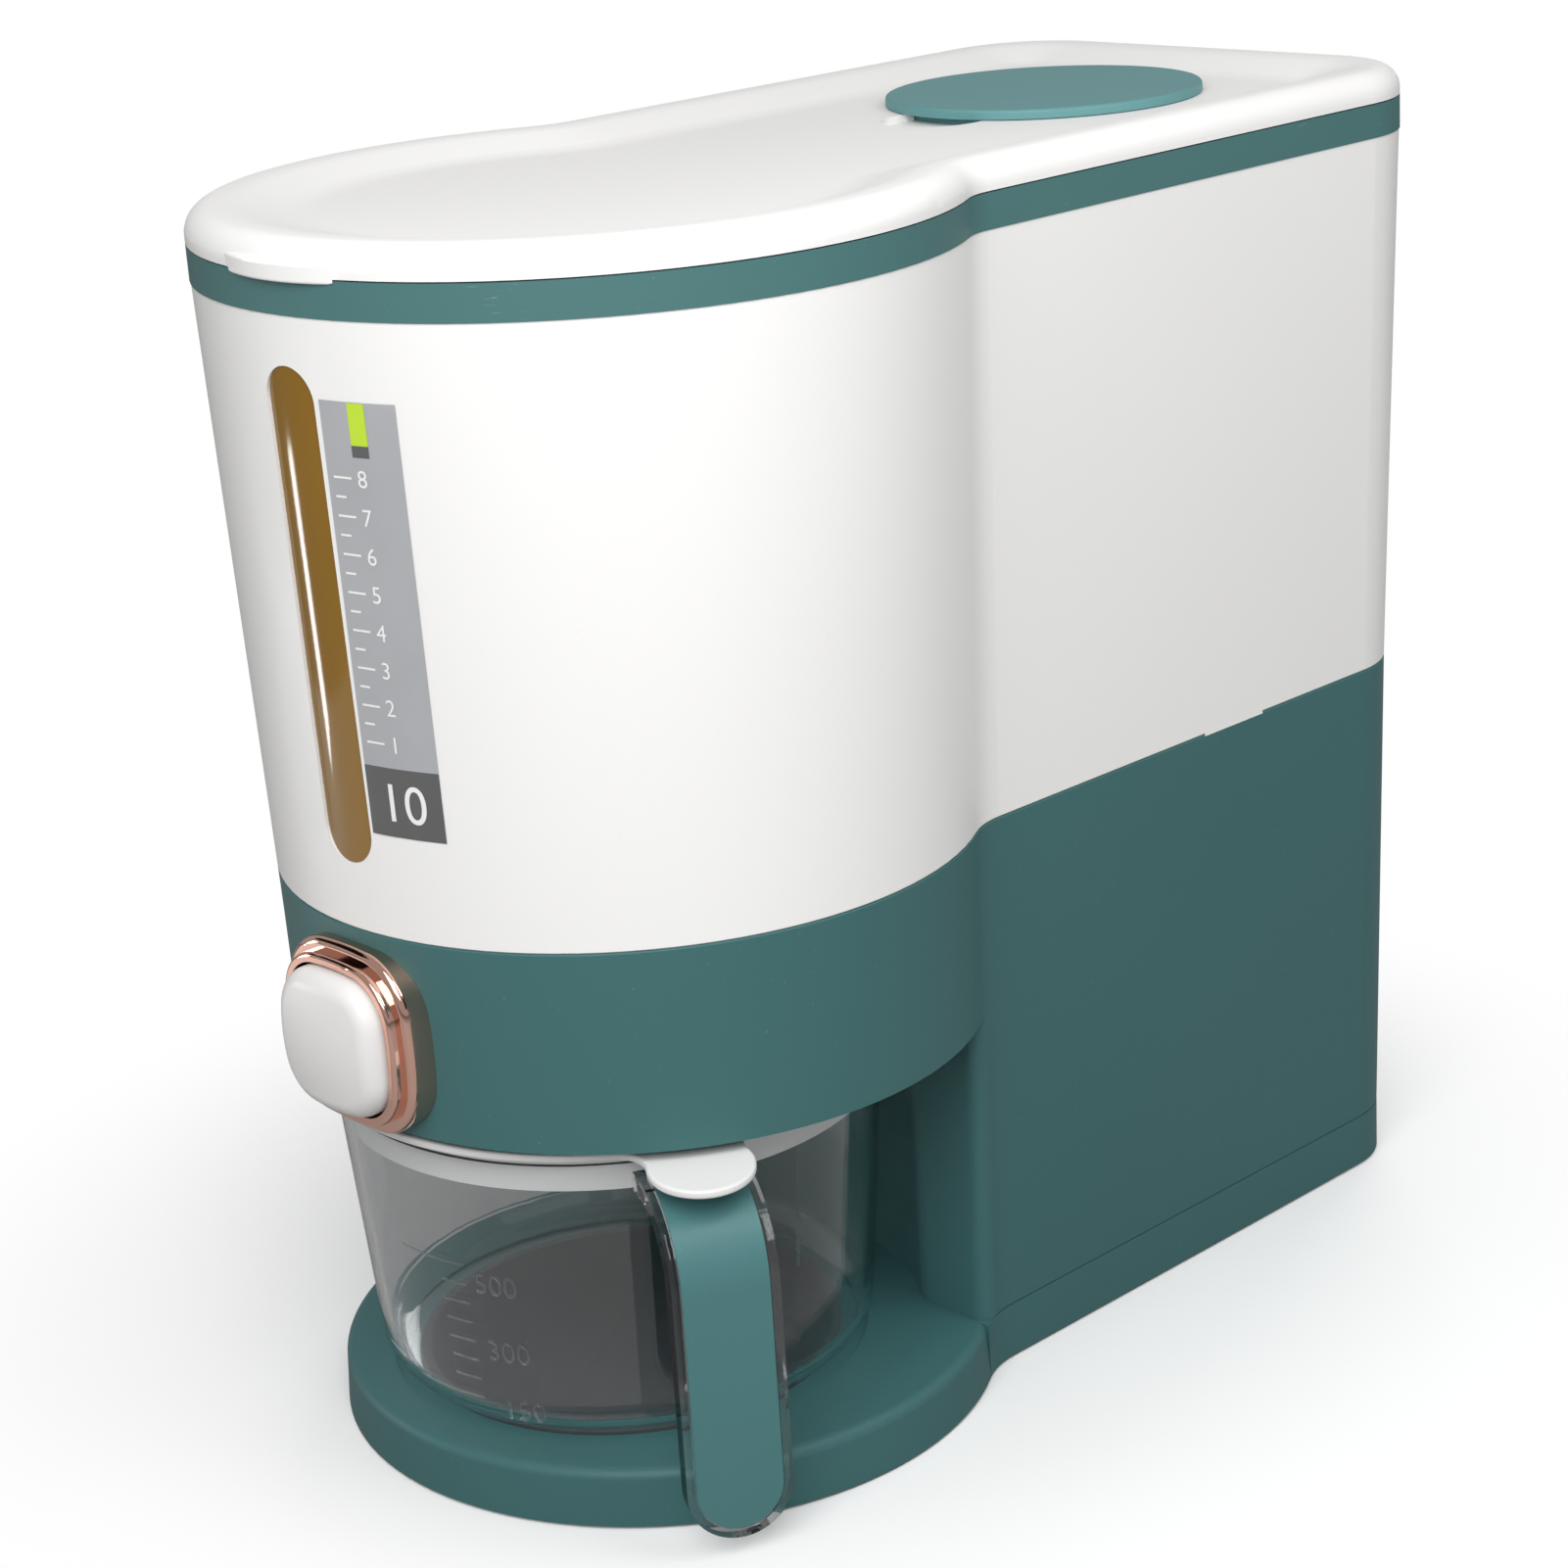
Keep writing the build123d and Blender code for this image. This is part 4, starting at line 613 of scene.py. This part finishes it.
def buildFloor():
    look = floorLook
    half, z = look["size"] / 2, -look["drop"]
    mesh = bpy.data.meshes.new("studioFloor")
    mesh.from_pydata([(-half, -half, z), (half, -half, z), (half, half, z), (-half, half, z)],
                     [], [[0, 1, 2, 3]])
    floor = bpy.data.objects.new("studioFloor", mesh)
    scene.collection.objects.link(floor)
    material, tree, shader = startMaterial("studioFloor", {"Roughness": 0.9, "Specular IOR Level": 0.1})
    end = next(n for n in tree.nodes if n.type == "OUTPUT_MATERIAL")
    link = tree.links.new
    rays = put(tree, "ShaderNodeLightPath")
    seen = rays.outputs["Is Camera Ray"]
    behind = put(tree, "ShaderNodeMath", {"operation": "MULTIPLY_ADD"}, {1: look["throughShare"]})
    link(rays.outputs["Is Transmission Ray"], behind.inputs[0])
    link(seen, behind.inputs[2])
    place = put(tree, "ShaderNodeTexCoord")
    reach = put(tree, "ShaderNodeVectorMath", {"operation": "LENGTH"})
    fade = put(tree, "ShaderNodeMapRange", {"interpolation_type": "SMOOTHSTEP"}, {
        "From Min": look["nearRadius"], "From Max": look["farRadius"]})
    tone = put(tree, "ShaderNodeMix", {"data_type": "RGBA"})
    tone.inputs["A"].default_value = look["dim"]
    tone.inputs["B"].default_value = look["pale"]
    share = put(tree, "ShaderNodeMath", {"operation": "MULTIPLY"})
    white = put(tree, "ShaderNodeEmission", None, {"Color": (1, 1, 1, 1), "Strength": 1.0})
    mix = put(tree, "ShaderNodeMixShader")
    link(place.outputs["Object"], reach.inputs[0])
    link(reach.outputs["Value"], fade.inputs["Value"])
    link(behind.outputs["Value"], tone.inputs["Factor"])
    link(tone.outputs["Result"], shader.inputs["Base Color"])
    link(fade.outputs["Result"], share.inputs[0])
    link(seen, share.inputs[1])
    link(share.outputs["Value"], mix.inputs["Fac"])
    link(shader.outputs["BSDF"], mix.inputs[1])
    link(white.outputs["Emission"], mix.inputs[2])
    link(mix.outputs["Shader"], end.inputs["Surface"])
    mesh.materials.append(material)


worldLook = {"ambient": 0.40}


def buildWorld():
    world = bpy.data.worlds.new("studioWorld")
    scene.world = world
    world.use_nodes = True
    tree = world.node_tree
    tree.nodes.clear()
    link = tree.links.new
    end = put(tree, "ShaderNodeOutputWorld")
    rays = put(tree, "ShaderNodeLightPath")
    soft = put(tree, "ShaderNodeBackground", None, {"Color": (1, 1, 1, 1), "Strength": worldLook["ambient"]})
    white = put(tree, "ShaderNodeBackground", None, {"Color": (1, 1, 1, 1), "Strength": 1.0})
    mix = put(tree, "ShaderNodeMixShader")
    link(rays.outputs["Is Camera Ray"], mix.inputs["Fac"])
    link(soft.outputs["Background"], mix.inputs[1])
    link(white.outputs["Background"], mix.inputs[2])
    link(mix.outputs["Shader"], end.inputs["Surface"])


lampLook = {
    "keyLamp": {"from": (0.48, -0.645, 0.83), "to": (0, -0.03, 0.28), "size": (0.7, 0.7), "power": 8.5},
    "sideLamp": {"from": (0.60, 0.12, 0.75), "to": (0.10, 0.10, 0.26), "size": (0.4, 0.4), "power": 1.6},
    "backLamp": {"from": (-0.55, 1.05, 0.38), "to": (0, 0.05, 0.20), "size": (0.8, 0.5), "power": 5.5,
                 "gloss": False},
}


def buildLamps():
    for name, look in lampLook.items():
        lamp = bpy.data.lights.new(name, "AREA")
        lamp.shape = "RECTANGLE"
        lamp.size, lamp.size_y = look["size"]
        lamp.energy = look["power"]
        holder = bpy.data.objects.new(name, lamp)
        scene.collection.objects.link(holder)
        holder.location = look["from"]
        aim = Vector(look["to"]) - Vector(look["from"])
        holder.rotation_euler = aim.to_track_quat("-Z", "Y").to_euler()
        holder.visible_camera = False
        holder.visible_glossy = look.get("gloss", True)


# cards that only gloss sees: dark ones for the plating, a bright one for the streak on the pane
cardTone = (0.012, 0.011, 0.011, 1)
cardLook = {
    "cardLeft": {"middle": (-0.69, -0.49, 0.69), "size": (0.55, 0.40), "to": (0, -0.19, 0.14), "glow": 0.0},
    "cardRight": {"middle": (0.86, 0.10, 0.42), "size": (0.30, 0.30), "to": (0, -0.19, 0.14), "glow": 0.0},
    "cardStreak": {"middle": (-0.30, -0.36, 0.14), "size": (0.035, 0.14), "to": (0, -0.185, 0.14),
                   "glow": 13.0},
    "cardBounce": {"middle": (-0.22, -0.40, 0.02), "size": (0.34, 0.20), "to": (0, -0.19, 0.14), "glow": 0.9},
}


def buildCards():
    for name, look in cardLook.items():
        material, tree, shader = startMaterial(name, {
            "Base Color": cardTone, "Roughness": 1.0, "Specular IOR Level": 0.0,
            "Emission Color": (1, 1, 1, 1), "Emission Strength": look["glow"]})
        halfX, halfY = look["size"][0] / 2, look["size"][1] / 2
        mesh = bpy.data.meshes.new(name)
        mesh.from_pydata([(-halfX, -halfY, 0), (halfX, -halfY, 0), (halfX, halfY, 0), (-halfX, halfY, 0)],
                         [], [[0, 1, 2, 3]])
        mesh.materials.append(material)
        card = bpy.data.objects.new(name, mesh)
        scene.collection.objects.link(card)
        aim = Vector(look["to"]) - Vector(look["middle"])
        turn = aim.to_track_quat("-Z", "Y").to_matrix().to_4x4()
        card.matrix_world = Matrix.Translation(look["middle"]) @ turn
        card.visible_camera = False
        card.visible_diffuse = False
        card.visible_shadow = False
        card.visible_transmission = False


# viewpoint fitted to the product shot
cameraLook = {"place": (0.7002, -0.66955, 0.4900), "azimuth": 47.164, "elevation": 18.827, "roll": -3.667,
              "lens": 78.603, "sensor": 36.0}


def buildCamera():
    look = cameraLook
    a, e, r = (math.radians(look[k]) for k in ("azimuth", "elevation", "roll"))
    back = Vector((math.sin(a) * math.cos(e), -math.cos(a) * math.cos(e), math.sin(e)))
    right = Vector((math.cos(a), math.sin(a), 0))
    up = back.cross(right)
    rightTurned = right * math.cos(r) + up * math.sin(r)
    upTurned = up * math.cos(r) - right * math.sin(r)
    camera = bpy.data.cameras.new("camera")
    camera.lens = look["lens"]
    camera.sensor_width = look["sensor"]
    camera.dof.use_dof = False
    holder = bpy.data.objects.new("camera", camera)
    scene.collection.objects.link(holder)
    turn = Matrix((rightTurned, upTurned, back)).transposed()
    holder.matrix_world = Matrix.Translation(look["place"]) @ turn.to_4x4()
    scene.camera = holder


buildFloor()
buildWorld()
buildLamps()
buildCards()
buildCamera()
scene.view_settings.view_transform = "Standard"
print("stage 4: studio and camera")
